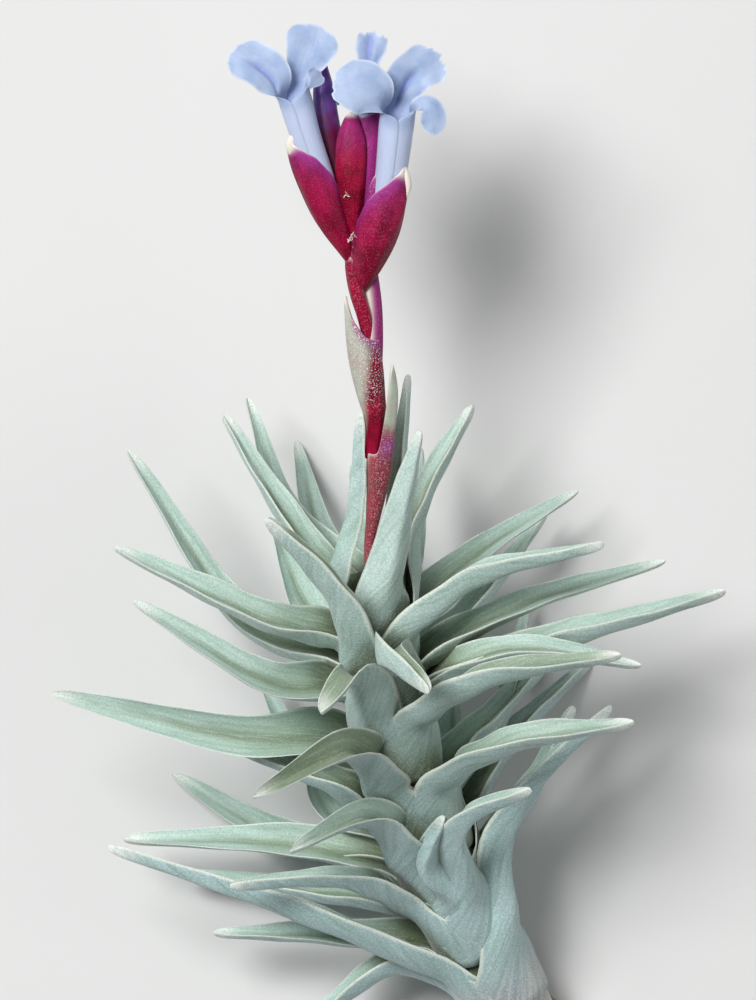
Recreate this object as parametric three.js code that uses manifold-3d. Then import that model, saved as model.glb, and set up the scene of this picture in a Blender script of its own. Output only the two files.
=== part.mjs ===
// A narrow-leaved silvery air plant in flower, picked and laid down on its back leaves.
// Units are millimetres. X runs across the plant, Y from the old stem up to the flowers,
// and Z up from the surface that the plant lies on. The origin is under the middle of it.

import * as THREE from 'three';
import { mergeVertices } from 'three/addons/utils/BufferGeometryUtils.js';
import Module from 'manifold-3d';

const wasm = await Module();
wasm.setup();

// Sizes that hold for the whole plant

const GAP = 0.3;                     // left open between pieces that touch
const FLOOR_SLAB = 20;               // depth of the block that trims the resting spots flat

// The leafy stem, from its old end up to the base of the flower stalk

const STEM_PATH = [
  [19.6, -65.7, 3],
  [17, -60.3, 4.5],
  [10.4, -47.5, 11.8],
  [3.4, -30, 20.3],
  [0.8, -20, 24.4],
  [-1.6, -6.3, 29],
];
const OLD_STEM_END = -63.9;          // Y where the old stem was picked off
const OLD_STEM_TOP = -54.5;          // Y where the dry old stem ends and the green stem begins
const STEM_TOP = -6.5;               // Y where the green stem ends
const STEM_RADIUS = 4.9;             // at the bottom of the green stem
const STEM_TIP_RADIUS = 2.3;         // at the top of the green stem
const STEM_SIDES = 12;
const STEM_STEPS = 14;

// The dry old stem, with the papery bases of dead leaves wrapped round it

const OLD_STEM_RADII = [3.9, 4.5, 4.9, 4.7];
const DRY_SHEATHS = 6;
const DRY_SHEATHS_FROM = -63.4;
const DRY_SHEATHS_TO = -60.6;
const DRY_SHEATH_LENGTH = 6.4;
const DRY_SHEATH_WIDTH = 7.4;
const DRY_SHEATH_OUT = 4.2;          // distance of a sheath's foot from the stem's axis
const DRY_SHEATH_FLARE = 1.1;        // added to it at the worn upper end
const DRY_SHEATH_CUP = 0.2;
const DRY_SHEATH_OUTLINE = [[0, 0.8], [0.35, 1], [0.7, 0.8], [0.9, 0.42], [1, 0.2]];

// One leaf: a tapering channelled blade with a keel below and a blunt tip

const LEAF_WIDTH = 6.6;              // across the edges near the stem
const LEAF_TAPER = 0.86;             // share of the width that is gone at the tip
const LEAF_TAPER_POWER = 1.7;
const SHEATH_FLARE = 0.45;           // share added to the width where the base clasps the stem
const SHEATH_SHARE = 0.36;           // share of the leaf over which that flare dies away
const LEAF_KEEL = 0.85;              // thickness at the middle of the blade near the tip
const LEAF_KEEL_EXTRA = 0.8;         // added to it near the stem
const CHANNEL_AT_BASE = 0.42;        // depth of the channel as a share of the width
const CHANNEL_AT_TIP = 0.28;
const CHANNEL_SHOULDER = 0.6;        // where the rounded underside is, as a share of the half width
const SHOULDER_KEEL = 0.75;          // depth of the underside there as a share of the keel
const SUNK_BASE = 0.55;              // share of the width that a leaf has inside the stem
const SUNK_RUN = 4;                  // how fast it widens from there
const CLASP_SHARE = 0.55;            // share of the way up to its mid point that a leaf clasps
const CLASP_LEAST = 3.5;             // shortest and longest run that clasps the stem
const CLASP_MOST = 9;
const CLASP_STOP = -4.5;             // Y above which no leaf clasps the stem
const CLASP_GAP = 0.3;               // between the stem and the leaf that clasps it
const CLASP_SPREAD = 0.28;           // growth of that distance for each millimetre up the stem
const LOW_CLASP_SPREAD = 0.1;        // the same for the lowest leaves
const SPREAD_FROM = -54;             // Y between which one goes over into the other
const SPREAD_TO = -42;
const FOOT_OUT = 0.3;                // share of the stem's radius where a leaf's midrib starts
const TURN_FROM = 0.1;               // shares of the leaf between which its channel turns
const TURN_TO = 0.55;
const FOLD_TO = 0.45;                // share of the leaf from which it is fully folded
const FOLD_DEPTH = 0.8;              // share that a full fold adds to the channel's depth
const FOLD_WIDTH = 0.45;             // and takes away from the width
const FOLD_KEEL = 0.3;               // and adds to the thickness
const LEAF_STATIONS = [0, 0.14, 0.3, 0.48, 0.66, 0.82, 0.94, 0.985, 1];
const LEAF_ROUNDING = 0.94;          // where along the leaf its blunt tip starts to round off
const LEAF_BLUNTNESS = 0.8;          // how much of the width that rounding takes away, squared
const FAR_STATIONS = [0, 0.16, 0.4, 0.65, 0.88, 1];

// Leaves seen from above. root is the Y on the stem's axis that the leaf grows from, mid
// is the point half way along its midrib and tip is its end. turn swings the channel
// upward and lean swings it about the midrib, both in radians. fold narrows and deepens
// the channel. out is the side of the stem that it stands on, where the tip doesn't say.

const LEFT_LEAVES = [
  { root: -20, mid: [-17.1, -10.1, 20], tip: [-32.9, 12.6, 22], width: 6, turn: 0.4 },
  { root: -18, mid: [-15.6, -8.8, 32], tip: [-34.3, 0.4, 33], turn: 0.4 },
  { root: -24, mid: [-15, -16.6, 33], tip: [-31.8, -6.4, 36], width: 6.6, turn: 0.9 },
  { root: -31, mid: [-19, -23.5, 26], tip: [-42.3, -18.1, 26], width: 7.2, turn: 1 },
  { root: -14, mid: [-10.4, 0.2, 27], tip: [-20.7, 17, 24], width: 6 },
  { root: -12, mid: [-12.2, 3.7, 19], tip: [-17.9, 19.3, 12], width: 5.2 },
  { root: -20, mid: [-9.8, -8, 17], tip: [-14.8, 4, 13], width: 7 },
  { root: -33, mid: [-10.8, -26, 11], tip: [-16, -17, 6], width: 6 },
  { root: -42, mid: [-7, -34, 12], tip: [-10.2, -27.2, 6], width: 7 },
];

const TOP_LEAVES = [
  { root: -11, mid: [-4, 4.6, 31.4], tip: [-3.2, 17.1, 35], width: 3.4, out: [-1, 0, 0.1] },
  { root: -12, mid: [0.8, 0.8, 36.2], tip: [4, 15, 42], width: 6, out: [0.2, 0, 1] },
  { root: -9, mid: [1.3, 8, 28], tip: [2.4, 22, 30], width: 3.4 },
  { root: -15, mid: [3.3, 3.4, 26.5], tip: [10.6, 18.2, 27], width: 6.2 },
];

const RIGHT_LEAVES = [
  { root: -15, mid: [11.4, -0.6, 19], tip: [24.2, 7.5, 13], width: 5, turn: 0.6 },
  { root: -20, mid: [11, -7.3, 15], tip: [20.2, 4.8, 8], width: 5 },
  { root: -22, mid: [8.4, -12.6, 14], tip: [12.6, -5, 6], width: 4.4 },
  { root: -17, mid: [10.2, -3.8, 34], tip: [26.9, 0.9, 37], width: 5.6, out: [0.7, 0, 0.7] },
  { root: -20, mid: [15, -7.9, 26], tip: [35, -1.4, 23], width: 4.8, turn: 0.5 },
  { root: -21, mid: [19.6, -12, 27], tip: [42.5, -5.2, 25], width: 6.4 },
  { root: -23, mid: [15.2, -12.6, 31], tip: [31.8, -14.5, 30], width: 5, turn: 0.4 },
  { root: -28, mid: [12, -16.2, 38], tip: [29, -13, 42], width: 6.6, out: [0.5, 0, 0.85] },
  { root: -34, mid: [13.7, -21, 13], tip: [21.4, -13.4, 6], width: 5.4 },
  { root: -38, mid: [14.8, -20.4, 10], tip: [17.9, -6.6, 5], width: 4.6 },
  { root: -36, mid: [7.9, -26, 11], tip: [8.4, -16.4, 5], width: 6 },
  { root: -36, mid: [13.4, -25, 35], tip: [30.7, -21.4, 39], width: 6.8, out: [0.6, 0, 0.8] },
  { root: -46, mid: [17.6, -31.6, 15], tip: [23.4, -19.8, 17], width: 5.4 },
  { root: -57, mid: [15.3, -34.2, 19], tip: [28, -19.6, 26], width: 6.8, out: [0.85, 0, 0.5] },
  { root: -50, mid: [9.2, -34.4, 31], tip: [17.8, -29.8, 38], width: 6, fold: 0.2, out: [0.35, 0, 0.9] },
];

const NEAR_LEAVES = [
  { root: -22, mid: [-6.2, -6.6, 39], tip: [-15, 4, 46], width: 8, fold: 0.2, lean: -0.75 },
  { root: -22, mid: [-0.6, -13.2, 41.5], tip: [5.2, -17.4, 47.5], width: 7.4, fold: 0.5, lean: -0.6 },
  { root: -28, mid: [-4.4, -15.8, 41], tip: [-8.4, -20.2, 44], width: 9, fold: 0.2, lean: -0.05,
    out: [-0.45, 0, 0.9] },
  { root: -36, mid: [-4.8, -25.6, 37], tip: [-16.8, -30.7, 44], width: 8.6, fold: 0.45, lean: -0.9 },
  { root: -45, mid: [-2.4, -34.1, 31], tip: [-12.2, -37.6, 38], width: 7.8, fold: 0.5, lean: -0.8 },
  { root: -48, mid: [4.8, -40.2, 25], tip: [7.1, -33.4, 31], width: 6.6, fold: 0.3, lean: -0.3,
    out: [-0.1, 0, 1] },
  { root: -39, mid: [-6.6, -30, 23], tip: [-20, -24.6, 21], width: 7 },
];

const LOW_LEAVES = [
  { root: -46, mid: [-12.4, -37.7, 13], tip: [-33.6, -36.9, 11], turn: 0.4 },
  { root: -58, mid: [-12, -45.4, 21], tip: [-35.4, -37.4, 21], width: 5.6, out: [-0.7, 0, 0.7] },
  { root: -50, mid: [-5.2, -41.6, 25], tip: [-19.8, -42, 31], width: 5.8 },
  { root: -50, mid: [-9, -43.8, 8], tip: [-26.4, -41.2, 6], width: 5 },
  { root: -55, mid: [-4, -49.4, 13], tip: [-22.2, -48.7, 12], width: 5.6, turn: 0.3 },
  { root: -59, mid: [1.2, -52.8, 11], tip: [-15, -64.4, 8], width: 5 },
];

// Back leaves whose trimmed tips carry the plant, with the old stem

const REST_LEAVES = [
  { root: -15, mid: [-8.3, 1, 13], tip: [-11.7, 13.8, 0.1], width: 5.6 },
  { root: -42, mid: [-12.4, -37.4, 7], tip: [-27.6, -28.9, 0.1], width: 6.6, turn: 0.4 },
  { root: -41, mid: [17.1, -22.9, 7], tip: [26.2, -14, 0.1], width: 5.8 },
];

// Leaves of the far side, hidden from above: they go round the stem at the golden angle

const BACK_LEAVES = 66;              // places along the stem, of which the far side's are used
const GOLDEN_ANGLE = 2.39996;
const BACK_HALF_ANGLE = 0.42;        // how far from straight down a far leaf may stand, in radians
const BACK_FROM = -56;               // Y of the lowest and the topmost of them
const BACK_TO = -13;
const BACK_LENGTH = 33;
const BACK_SPREAD = 6;               // most that a leaf is longer or shorter
const BACK_OPENING = 0.8;            // angle between leaf and stem, in radians
const BACK_OPENING_SPREAD = 0.15;    // most that a leaf opens wider or less
const BACK_MID_ALONG = 0.42;         // a far leaf's mid point: share of its reach along the stem
const BACK_MID_OUT = 0.62;           // and away from it
const BACK_MID_ABOVE = 1.5;          // least that this point is above the tip's lowest level
const BACK_WIDTH = 5.4;
const BACK_CLEARANCE = 2;            // lowest that these leaves come to the surface
const RANDOM_SEED = 11;
const DRAW_FACTOR = 16807;           // each draw is the last one times this, within the range
const DRAW_RANGE = 2147483647;

// The flower stalk, from inside the green stem to the flower head

const STALK_PATH = [
  [-1.2, -9.5, 27.9],
  [-1.9, -4, 29.6],
  [-2.3, 0, 30.5],
  [-1.8, 6.3, 31.8],
  [-1.4, 11.9, 33],
  [-1.8, 18.8, 34.5],
  [-1.8, 26.5, 36.2],
  [-2.6, 31.3, 37.3],
  [-3.6, 35, 38],
];
const STALK_RADII = [1, 0.9, 0.9, 0.9];
const STALK_SIDES = 10;

// Bracts that clasp the stalk. each is a funnel that opens upward, with a leaf-like tip

const LOWER_FUNNEL = [[-2.9, -2.5, 30], [-1.9, 4.6, 31.5], [-1.3, 9, 32.5], [-0.8, 12.6, 33.4]];
const LOWER_FUNNEL_RADII = [0.9, 1.25, 1.7, 1.6];
const LOWER_TIP = [[-0.9, 8.6, 33], [0.2, 14.6, 34.6], [0.7, 23.8, 36.2]];
const LOWER_TIP_WIDTH = 3.4;
const LOWER_TIP_FACE = [-0.2, 0, 1];
const MIDDLE_FUNNEL = [[-1.6, 11.9, 33], [-1.7, 16, 34], [-2.1, 20, 35], [-2.7, 25.4, 36.2]];
const MIDDLE_FUNNEL_RADII = [0.95, 1.6, 2.1, 1.7];
const MIDDLE_TIP = [[-2.8, 20.4, 35.4], [-4, 26.6, 37], [-5.3, 32, 37.8]];
const MIDDLE_TIP_WIDTH = 3.2;
const MIDDLE_TIP_FACE = [-0.3, 0, 1];
const BRACT_TIP_CUP = -0.12;
const UPPER_FUNNEL = [[-1.9, 26, 36.1], [-2, 28.6, 36.6], [-2.9, 32.6, 37.5], [-3.7, 35.2, 38.1]];
const UPPER_FUNNEL_RADII = [1, 1.5, 2.25, 2.3];

// The flower head. each flower bract is a cupped spindle from its base to its tip

const HEAD_BASE = [[-3.7, 35.5, 38.1], [-4.2, 38.4, 38.8], [-4.4, 42, 39.4]];
const HEAD_BASE_RADII = [2.2, 2.2, 1.4];
const LEFT_BRACT = [[-5, 37, 39.4], [-7, 41.4, 40.8], [-8.9, 45.4, 42], [-11.4, 50.6, 43]];
const LEFT_BRACT_RADII = [1.2, 2.2, 2.5, 2.6, 2.4, 1];
const RIGHT_BRACT = [[-3.2, 33.2, 38.9], [-1.9, 37.4, 40.6], [-0.3, 41.6, 42], [1.9, 47, 43.2]];
const RIGHT_BRACT_RADII = [1.2, 2.6, 3, 2.9, 2.3, 0.7];
const MIDDLE_BRACT = [[-4.4, 39.6, 40], [-4.6, 44.6, 41.4], [-4.6, 49, 42.2], [-4.6, 53.9, 42.6]];
const MIDDLE_BRACT_RADII = [1.2, 1.7, 2, 2.1, 1.8, 0.7];
const BACK_BRACT = [[-3.9, 39, 39], [-2.9, 43.6, 40.6], [-2.2, 48.6, 42], [-2, 54.6, 42.8]];
const BACK_BRACT_RADII = [1.4, 1.9, 1.9, 1.8, 1.5, 0.7];
const BRACT_FLATNESS = 0.85;

// Flowers. each has a tube that widens to its mouth, and petals that spread from there

const TUBE_SIDES = 10;
const TUBE_WALL = 0.8;
const THROAT_FOOT = 0.5;             // radius of the open throat at its bottom
const THROAT_FROM = 0.7;             // share of the tube's length where the open throat begins
const PETAL_THICKNESS = 0.7;
const PETAL_CUP = 0.1;               // rise of the margins as a share of the width
const PETAL_WAVE = 0.35;             // height of the ripples along the margins
const WAVES_ALONG = 9;               // their turning along the petal, in radians
const WAVES_ACROSS = 2.6;
const PETAL_SPANS = 4;               // flat strips across a petal
const PETAL_OUTLINE = [
  [0, 0.4], [0.2, 0.55], [0.45, 0.9], [0.68, 1], [0.85, 0.9], [0.95, 0.62], [1, 0.36],
];
const TIP_OUTLINE = [[0, 0.7], [0.2, 1], [0.5, 0.86], [0.78, 0.55], [0.93, 0.3], [1, 0.18]];
const LEFT_FLOWER = {
  tube: [[-6.9, 42.6, 40.8], [-9.1, 48.2, 42.6], [-10.3, 52, 43.3], [-12, 57.4, 44]],
  radii: [1.1, 1.5, 1.75, 2.3],
  petals: [
    { spine: [[-12, 56.2, 44.2], [-15.6, 60, 46], [-20.4, 61.2, 46]], width: 6.2, face: [0.2, 0.3, 1] },
    { spine: [[-11.4, 56.6, 43.6], [-9.8, 61.4, 43.4], [-8.4, 65.3, 41.6]], width: 5.6, face: [0, -0.3, 1] },
    { spine: [[-12, 56, 43.2], [-13.2, 58.4, 41], [-13.8, 59.4, 37]], width: 5, face: [0.2, 0.9, 0.5] },
  ],
};
const RIGHT_FLOWER = {
  tube: [[-1.6, 39.6, 40.4], [0.3, 46, 42.4], [0.8, 50, 43.6], [1.2, 54.8, 45]],
  radii: [1.2, 1.75, 1.9, 2.4],
  petals: [
    { spine: [[0.8, 54.2, 45.6], [-2.6, 57, 47.6], [-7, 57.4, 47.4]], width: 7, face: [-0.1, 0.3, 1] },
    { spine: [[1.4, 54.4, 45], [3.6, 58.2, 45.4], [6.2, 61.6, 43.8]], width: 6.4, face: [0.2, 0.1, 1] },
    { spine: [[1.8, 54, 45.2], [4.8, 55.4, 47], [5.2, 52, 48]], width: 4.6, face: [0.5, 0.7, 0.6] },
  ],
};
const BACK_FLOWER = {
  tube: [[-3.6, 42, 38.2], [-3, 48, 39.2], [-2.7, 52, 39.7], [-2.4, 57.2, 40.2]],
  radii: [1, 1.4, 1.6, 2.2],
  petals: [
    { spine: [[-2.4, 56.6, 40.6], [-2.3, 61, 41.4], [-2.3, 65.4, 40.6]], width: 3.8, face: [0, -0.2, 1] },
    { spine: [[-2.9, 56, 40], [-3.8, 57.6, 37], [-4.2, 57.2, 33.4]], width: 4.2, face: [-0.2, 0.9, 0.4] },
    { spine: [[-1.9, 56, 40], [-0.4, 57.6, 37.4], [0.6, 57.2, 33.8]], width: 4.6, face: [0.3, 0.9, 0.4] },
  ],
};
const BUD = [[-5.4, 42, 38.8], [-7, 49, 39.2], [-7.8, 54.6, 39.6], [-8.2, 60.6, 39.8]];
const BUD_RADII = [1, 1.4, 1.65, 1.6, 1.4, 0.6];

const up = new THREE.Vector3(0, 0, 1);
const vector = (point) => new THREE.Vector3(...point);
const curveThrough = (points) => new THREE.CatmullRomCurve3(points.map(vector), false, 'centripetal');
const mix = THREE.MathUtils.lerp;
const clamp = THREE.MathUtils.clamp;
const blend = THREE.MathUtils.smoothstep;

// Fan of triangles over a ring that its first corner sees whole

function fanCap(count) {
  const triangles = [];
  for (let j = 1; j < count - 1; j++) {
    triangles.push([0, j, j + 1]);
  }
  return triangles;
}

// Triangles over a thin curved strip whose lower corners run out and upper ones back

function stripCap(count) {
  const triangles = [];
  for (let j = 0; j < count / 2 - 1; j++) {
    triangles.push([j, j + 1, count - 2 - j]);
    triangles.push([j, count - 2 - j, count - 1 - j]);
  }
  return triangles;
}

// Closed solid through a row of equal rings. turned says for which side of the ring
// the squares are split along their other diagonal.

function solidFromRings(rings, cap, turned = () => false) {
  const count = rings[0].length;
  const corners = rings.flat();
  const last = (rings.length - 1) * count;
  const triangles = [];
  for (let row = 0; row < rings.length - 1; row++) {
    for (let j = 0; j < count; j++) {
      const a = row * count + j;
      const b = row * count + (j + 1) % count;
      if (turned(j)) {
        triangles.push([a, b, a + count], [b, b + count, a + count]);
      } else {
        triangles.push([a, b, b + count], [a, b + count, a + count]);
      }
    }
  }
  for (const [a, b, c] of cap) {
    triangles.push([a, c, b], [last + a, last + b, last + c]);
  }
  return new wasm.Manifold(new wasm.Mesh({
    numProp: 3,
    vertProperties: new Float32Array(corners.flatMap((corner) => corner.toArray())),
    triVerts: new Uint32Array(triangles.flat()),
  }));
}

// Round or oval rod along a smooth path. The sizes are spread evenly over its length:
// radii across the plant, and flatness the share of them from front to back.

function rod(path, radii, { sides = 12, steps = 8, flatness = 1, grow = 0 } = {}) {
  const curve = curveThrough(path);
  const rings = [];
  for (let step = 0; step <= steps; step++) {
    const along = step / steps;
    const tangent = curve.getTangentAt(along);
    const stretch = step === 0 ? -grow : step === steps ? grow : 0;
    const centre = curve.getPointAt(along).addScaledVector(tangent, stretch);
    const side = new THREE.Vector3().crossVectors(tangent, up).normalize();
    const front = new THREE.Vector3().crossVectors(side, tangent);
    const place = along * (radii.length - 1);
    const below = Math.min(Math.floor(place), radii.length - 2);
    const radius = mix(radii[below], radii[below + 1], place - below);
    const ring = [];
    for (let j = 0; j < sides; j++) {
      const angle = 2 * Math.PI * j / sides;
      ring.push(centre.clone()
        .addScaledVector(front, (radius * flatness + grow) * Math.cos(angle))
        .addScaledVector(side, (radius + grow) * Math.sin(angle)));
    }
    rings.push(ring);
  }
  return solidFromRings(rings, fanCap(sides));
}

// The stem's axis, read by its Y

const stemCurve = curveThrough(STEM_PATH);

function stemAt(y) {
  let low = 0;
  let high = 1;
  for (let halving = 0; halving < 24; halving++) {
    const middle = (low + high) / 2;
    if (stemCurve.getPoint(middle).y < y) {
      low = middle;
    } else {
      high = middle;
    }
  }
  return { point: stemCurve.getPoint(low), tangent: stemCurve.getTangent(low) };
}

function stemPiece(from, to, radii, options) {
  const path = [];
  const points = 6;
  for (let index = 0; index <= points; index++) {
    path.push(stemAt(mix(from, to, index / points)).point.toArray());
  }
  return rod(path, radii, options);
}

// Radius of the green stem where the Y of its axis is y

function stemRadius(y) {
  const share = clamp((y - OLD_STEM_TOP) / (STEM_TOP - OLD_STEM_TOP), 0, 1);
  return mix(STEM_RADIUS, STEM_TIP_RADIUS, share);
}

// A leaf clasps the stem for a run, turns out from it, passes its mid point and ends at
// its tip. Its channel faces the stem at first, then swings round by lean and turn.

function leaf({
  root, mid, tip, out, width = LEAF_WIDTH, turn = 0, fold = 0, lean = 0, stations = LEAF_STATIONS,
}) {
  const { point: start, tangent: stemward } = stemAt(root);
  const outward = out ? vector(out) : vector(tip).sub(start);
  outward.addScaledVector(stemward, -outward.dot(stemward)).normalize();
  const climb = vector(mid).sub(start).dot(stemward);
  const room = Math.max(CLASP_LEAST, CLASP_STOP - root);
  const clasped = Math.min(room, clamp(CLASP_SHARE * climb, CLASP_LEAST, CLASP_MOST));
  const spread = mix(LOW_CLASP_SPREAD, CLASP_SPREAD, blend(root, SPREAD_FROM, SPREAD_TO));
  const sheath = start.clone()
    .addScaledVector(stemward, clasped)
    .addScaledVector(outward, stemRadius(root + clasped) + CLASP_GAP + spread * clasped);
  const foot = start.clone().addScaledVector(outward, FOOT_OUT * stemRadius(root));
  const midrib = new THREE.CatmullRomCurve3([foot, sheath, vector(mid), vector(tip)], false,
    'centripetal');
  const across = new THREE.Vector3().crossVectors(stemward, outward);
  const swing = lean - Math.sign(across.z) * turn;
  const rings = stations.map((along) => {
    const centre = midrib.getPointAt(along);
    const tangent = midrib.getTangentAt(along);
    const side = across.clone().addScaledVector(tangent, -across.dot(tangent)).normalize();
    side.applyAxisAngle(tangent, swing * blend(along, TURN_FROM, TURN_TO));
    const face = new THREE.Vector3().crossVectors(tangent, side);
    const clasp = SHEATH_FLARE * Math.max(0, 1 - along / SHEATH_SHARE);
    const sunk = Math.min(1, SUNK_BASE + SUNK_RUN * along);
    const ending = Math.max(0, (along - LEAF_ROUNDING) / (1 - LEAF_ROUNDING));
    const blunt = Math.sqrt(1 - LEAF_BLUNTNESS * ending ** 2);
    const taper = 1 + clasp - LEAF_TAPER * along ** LEAF_TAPER_POWER;
    const folded = fold * blend(along, TURN_FROM, FOLD_TO);
    const open = sunk * blunt * width * taper / 2;
    const half = open * (1 - FOLD_WIDTH * folded);
    const lift = 2 * open * mix(CHANNEL_AT_BASE, CHANNEL_AT_TIP, along) * (1 + FOLD_DEPTH * folded);
    const keel = blunt * (LEAF_KEEL + LEAF_KEEL_EXTRA * (1 - along)) * (1 + FOLD_KEEL * folded);
    const shoulder = CHANNEL_SHOULDER * lift - SHOULDER_KEEL * keel;
    const section = [
      [0, 0],
      [-1, lift],
      [-CHANNEL_SHOULDER, shoulder],
      [0, -keel],
      [CHANNEL_SHOULDER, shoulder],
      [1, lift],
    ];
    return section.map(([over, rise]) => centre.clone()
      .addScaledVector(side, over * half)
      .addScaledVector(face, rise));
  });
  return solidFromRings(rings, fanCap(6), (j) => j === 1 || j === 2 || j === 5);
}

// A thin blade along a spine: leaf-like tips are pointed and petals are broad and round

function blade({ spine, width, face, outline, cup, spans = 2, wave = 0, grow = 0 }) {
  const curve = curveThrough(spine);
  const facing = vector(face);
  const half = PETAL_THICKNESS / 2 + grow;
  const rings = outline.map(([along, share]) => {
    const centre = curve.getPointAt(along);
    const tangent = curve.getTangentAt(along);
    const side = new THREE.Vector3().crossVectors(facing, tangent).normalize();
    const front = new THREE.Vector3().crossVectors(tangent, side);
    const top = [];
    const bottom = [];
    for (let j = 0; j <= spans; j++) {
      const over = 2 * j / spans - 1;
      const ripple = wave * Math.sin(WAVES_ALONG * along + WAVES_ACROSS * over) * Math.abs(over);
      const rise = cup * width * share * over * over + ripple;
      const place = centre.clone().addScaledVector(side, over * (width * share / 2 + grow));
      top.unshift(place.clone().addScaledVector(front, rise + half));
      bottom.push(place.addScaledVector(front, rise - half));
    }
    return [...bottom, ...top];
  });
  return solidFromRings(rings, stripCap(2 * spans + 2), (j) => j > spans);
}

// Largest body of a solid, without the scraps that a cut leaves behind

function largest(solid) {
  const bodies = solid.decompose();
  bodies.sort((one, other) => other.volume() - one.volume());
  return bodies[0];
}

const joined = (solids) => solids.reduce((whole, solid) => whole.add(solid));

function block(width, depth, height, centre) {
  const box = new THREE.BoxGeometry(width, depth, height).translate(...centre);
  box.deleteAttribute('normal');
  box.deleteAttribute('uv');
  const merged = mergeVertices(box);
  return new wasm.Manifold(new wasm.Mesh({
    numProp: 3,
    vertProperties: merged.attributes.position.array,
    triVerts: new Uint32Array(merged.index.array),
  }));
}

// Leaves of the far side, drawn by the rule above

function backLeaves() {
  let state = RANDOM_SEED;
  const draw = () => {
    state = (state * DRAW_FACTOR) % DRAW_RANGE;
    return state / DRAW_RANGE;
  };
  const leaves = [];
  for (let index = 0; index < BACK_LEAVES; index++) {
    const root = mix(BACK_FROM, BACK_TO, index / (BACK_LEAVES - 1));
    const angle = (index * GOLDEN_ANGLE + Math.PI) % (2 * Math.PI) - Math.PI;
    const length = BACK_LENGTH + BACK_SPREAD * (2 * draw() - 1);
    const lean = BACK_OPENING + BACK_OPENING_SPREAD * (2 * draw() - 1);
    if (Math.abs(angle) > BACK_HALF_ANGLE) {
      continue;
    }
    const { point, tangent } = stemAt(root);
    const side = new THREE.Vector3().crossVectors(tangent, up).normalize();
    const down = new THREE.Vector3().crossVectors(tangent, side);
    const outward = down.multiplyScalar(Math.cos(angle)).addScaledVector(side, Math.sin(angle));
    const tip = point.clone()
      .addScaledVector(tangent, length * Math.cos(lean))
      .addScaledVector(outward, length * Math.sin(lean));
    const mid = point.clone()
      .addScaledVector(tangent, BACK_MID_ALONG * length * Math.cos(lean))
      .addScaledVector(outward, BACK_MID_OUT * length * Math.sin(lean));
    tip.z = Math.max(tip.z, BACK_CLEARANCE);
    mid.z = Math.max(mid.z, BACK_CLEARANCE + BACK_MID_ABOVE);
    leaves.push({
      root,
      mid: mid.toArray(),
      tip: tip.toArray(),
      width: BACK_WIDTH,
      stations: FAR_STATIONS,
    });
  }
  return leaves;
}

// The stalk with its clasping bracts, or the same a little larger to cut room for it

function stalk(grow = 0) {
  const sides = STALK_SIDES;
  const bractTip = (spine, width, face) => blade({
    spine,
    width,
    face,
    outline: TIP_OUTLINE,
    cup: BRACT_TIP_CUP,
    grow,
  });
  return joined([
    rod(STALK_PATH, STALK_RADII, { sides, steps: 12, grow }),
    rod(LOWER_FUNNEL, LOWER_FUNNEL_RADII, { sides, steps: 5, grow }),
    bractTip(LOWER_TIP, LOWER_TIP_WIDTH, LOWER_TIP_FACE),
    rod(MIDDLE_FUNNEL, MIDDLE_FUNNEL_RADII, { sides, steps: 6, grow }),
    bractTip(MIDDLE_TIP, MIDDLE_TIP_WIDTH, MIDDLE_TIP_FACE),
    rod(UPPER_FUNNEL, UPPER_FUNNEL_RADII, { sides, steps: 5, grow }),
  ]);
}

const tubeOf = ({ tube, radii }, grow = 0) => rod(tube, radii, { sides: TUBE_SIDES, steps: 6, grow });

function bracts(grow = 0) {
  const options = { sides: TUBE_SIDES, steps: 8, flatness: BRACT_FLATNESS, grow };
  return joined([
    rod(HEAD_BASE, HEAD_BASE_RADII, { sides: STALK_SIDES, steps: 3, grow }),
    rod(LEFT_BRACT, LEFT_BRACT_RADII, options),
    rod(RIGHT_BRACT, RIGHT_BRACT_RADII, options),
    rod(MIDDLE_BRACT, MIDDLE_BRACT_RADII, options),
    rod(BACK_BRACT, BACK_BRACT_RADII, options),
  ]);
}

const bud = (grow = 0) => rod(BUD, BUD_RADII, { sides: 10, steps: 8, grow });

function flower(shape) {
  const curve = curveThrough(shape.tube);
  const throatPath = [THROAT_FROM, (THROAT_FROM + 1) / 2, 1].map((along) => curve.getPointAt(along));
  const mouth = curve.getTangentAt(1);
  throatPath[2].addScaledVector(mouth, GAP);
  const mouthRadius = shape.radii[shape.radii.length - 1];
  const throat = rod(throatPath.map((point) => point.toArray()),
    [THROAT_FOOT, mouthRadius - TUBE_WALL], { sides: TUBE_SIDES, steps: 2 });
  const petals = shape.petals.map((petal) => blade({
    ...petal,
    outline: PETAL_OUTLINE,
    cup: PETAL_CUP,
    spans: PETAL_SPANS,
    wave: PETAL_WAVE,
  }));
  return joined([tubeOf(shape).subtract(throat), ...petals]);
}

// The dry old stem: a woody core wrapped in worn papery leaf bases

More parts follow.
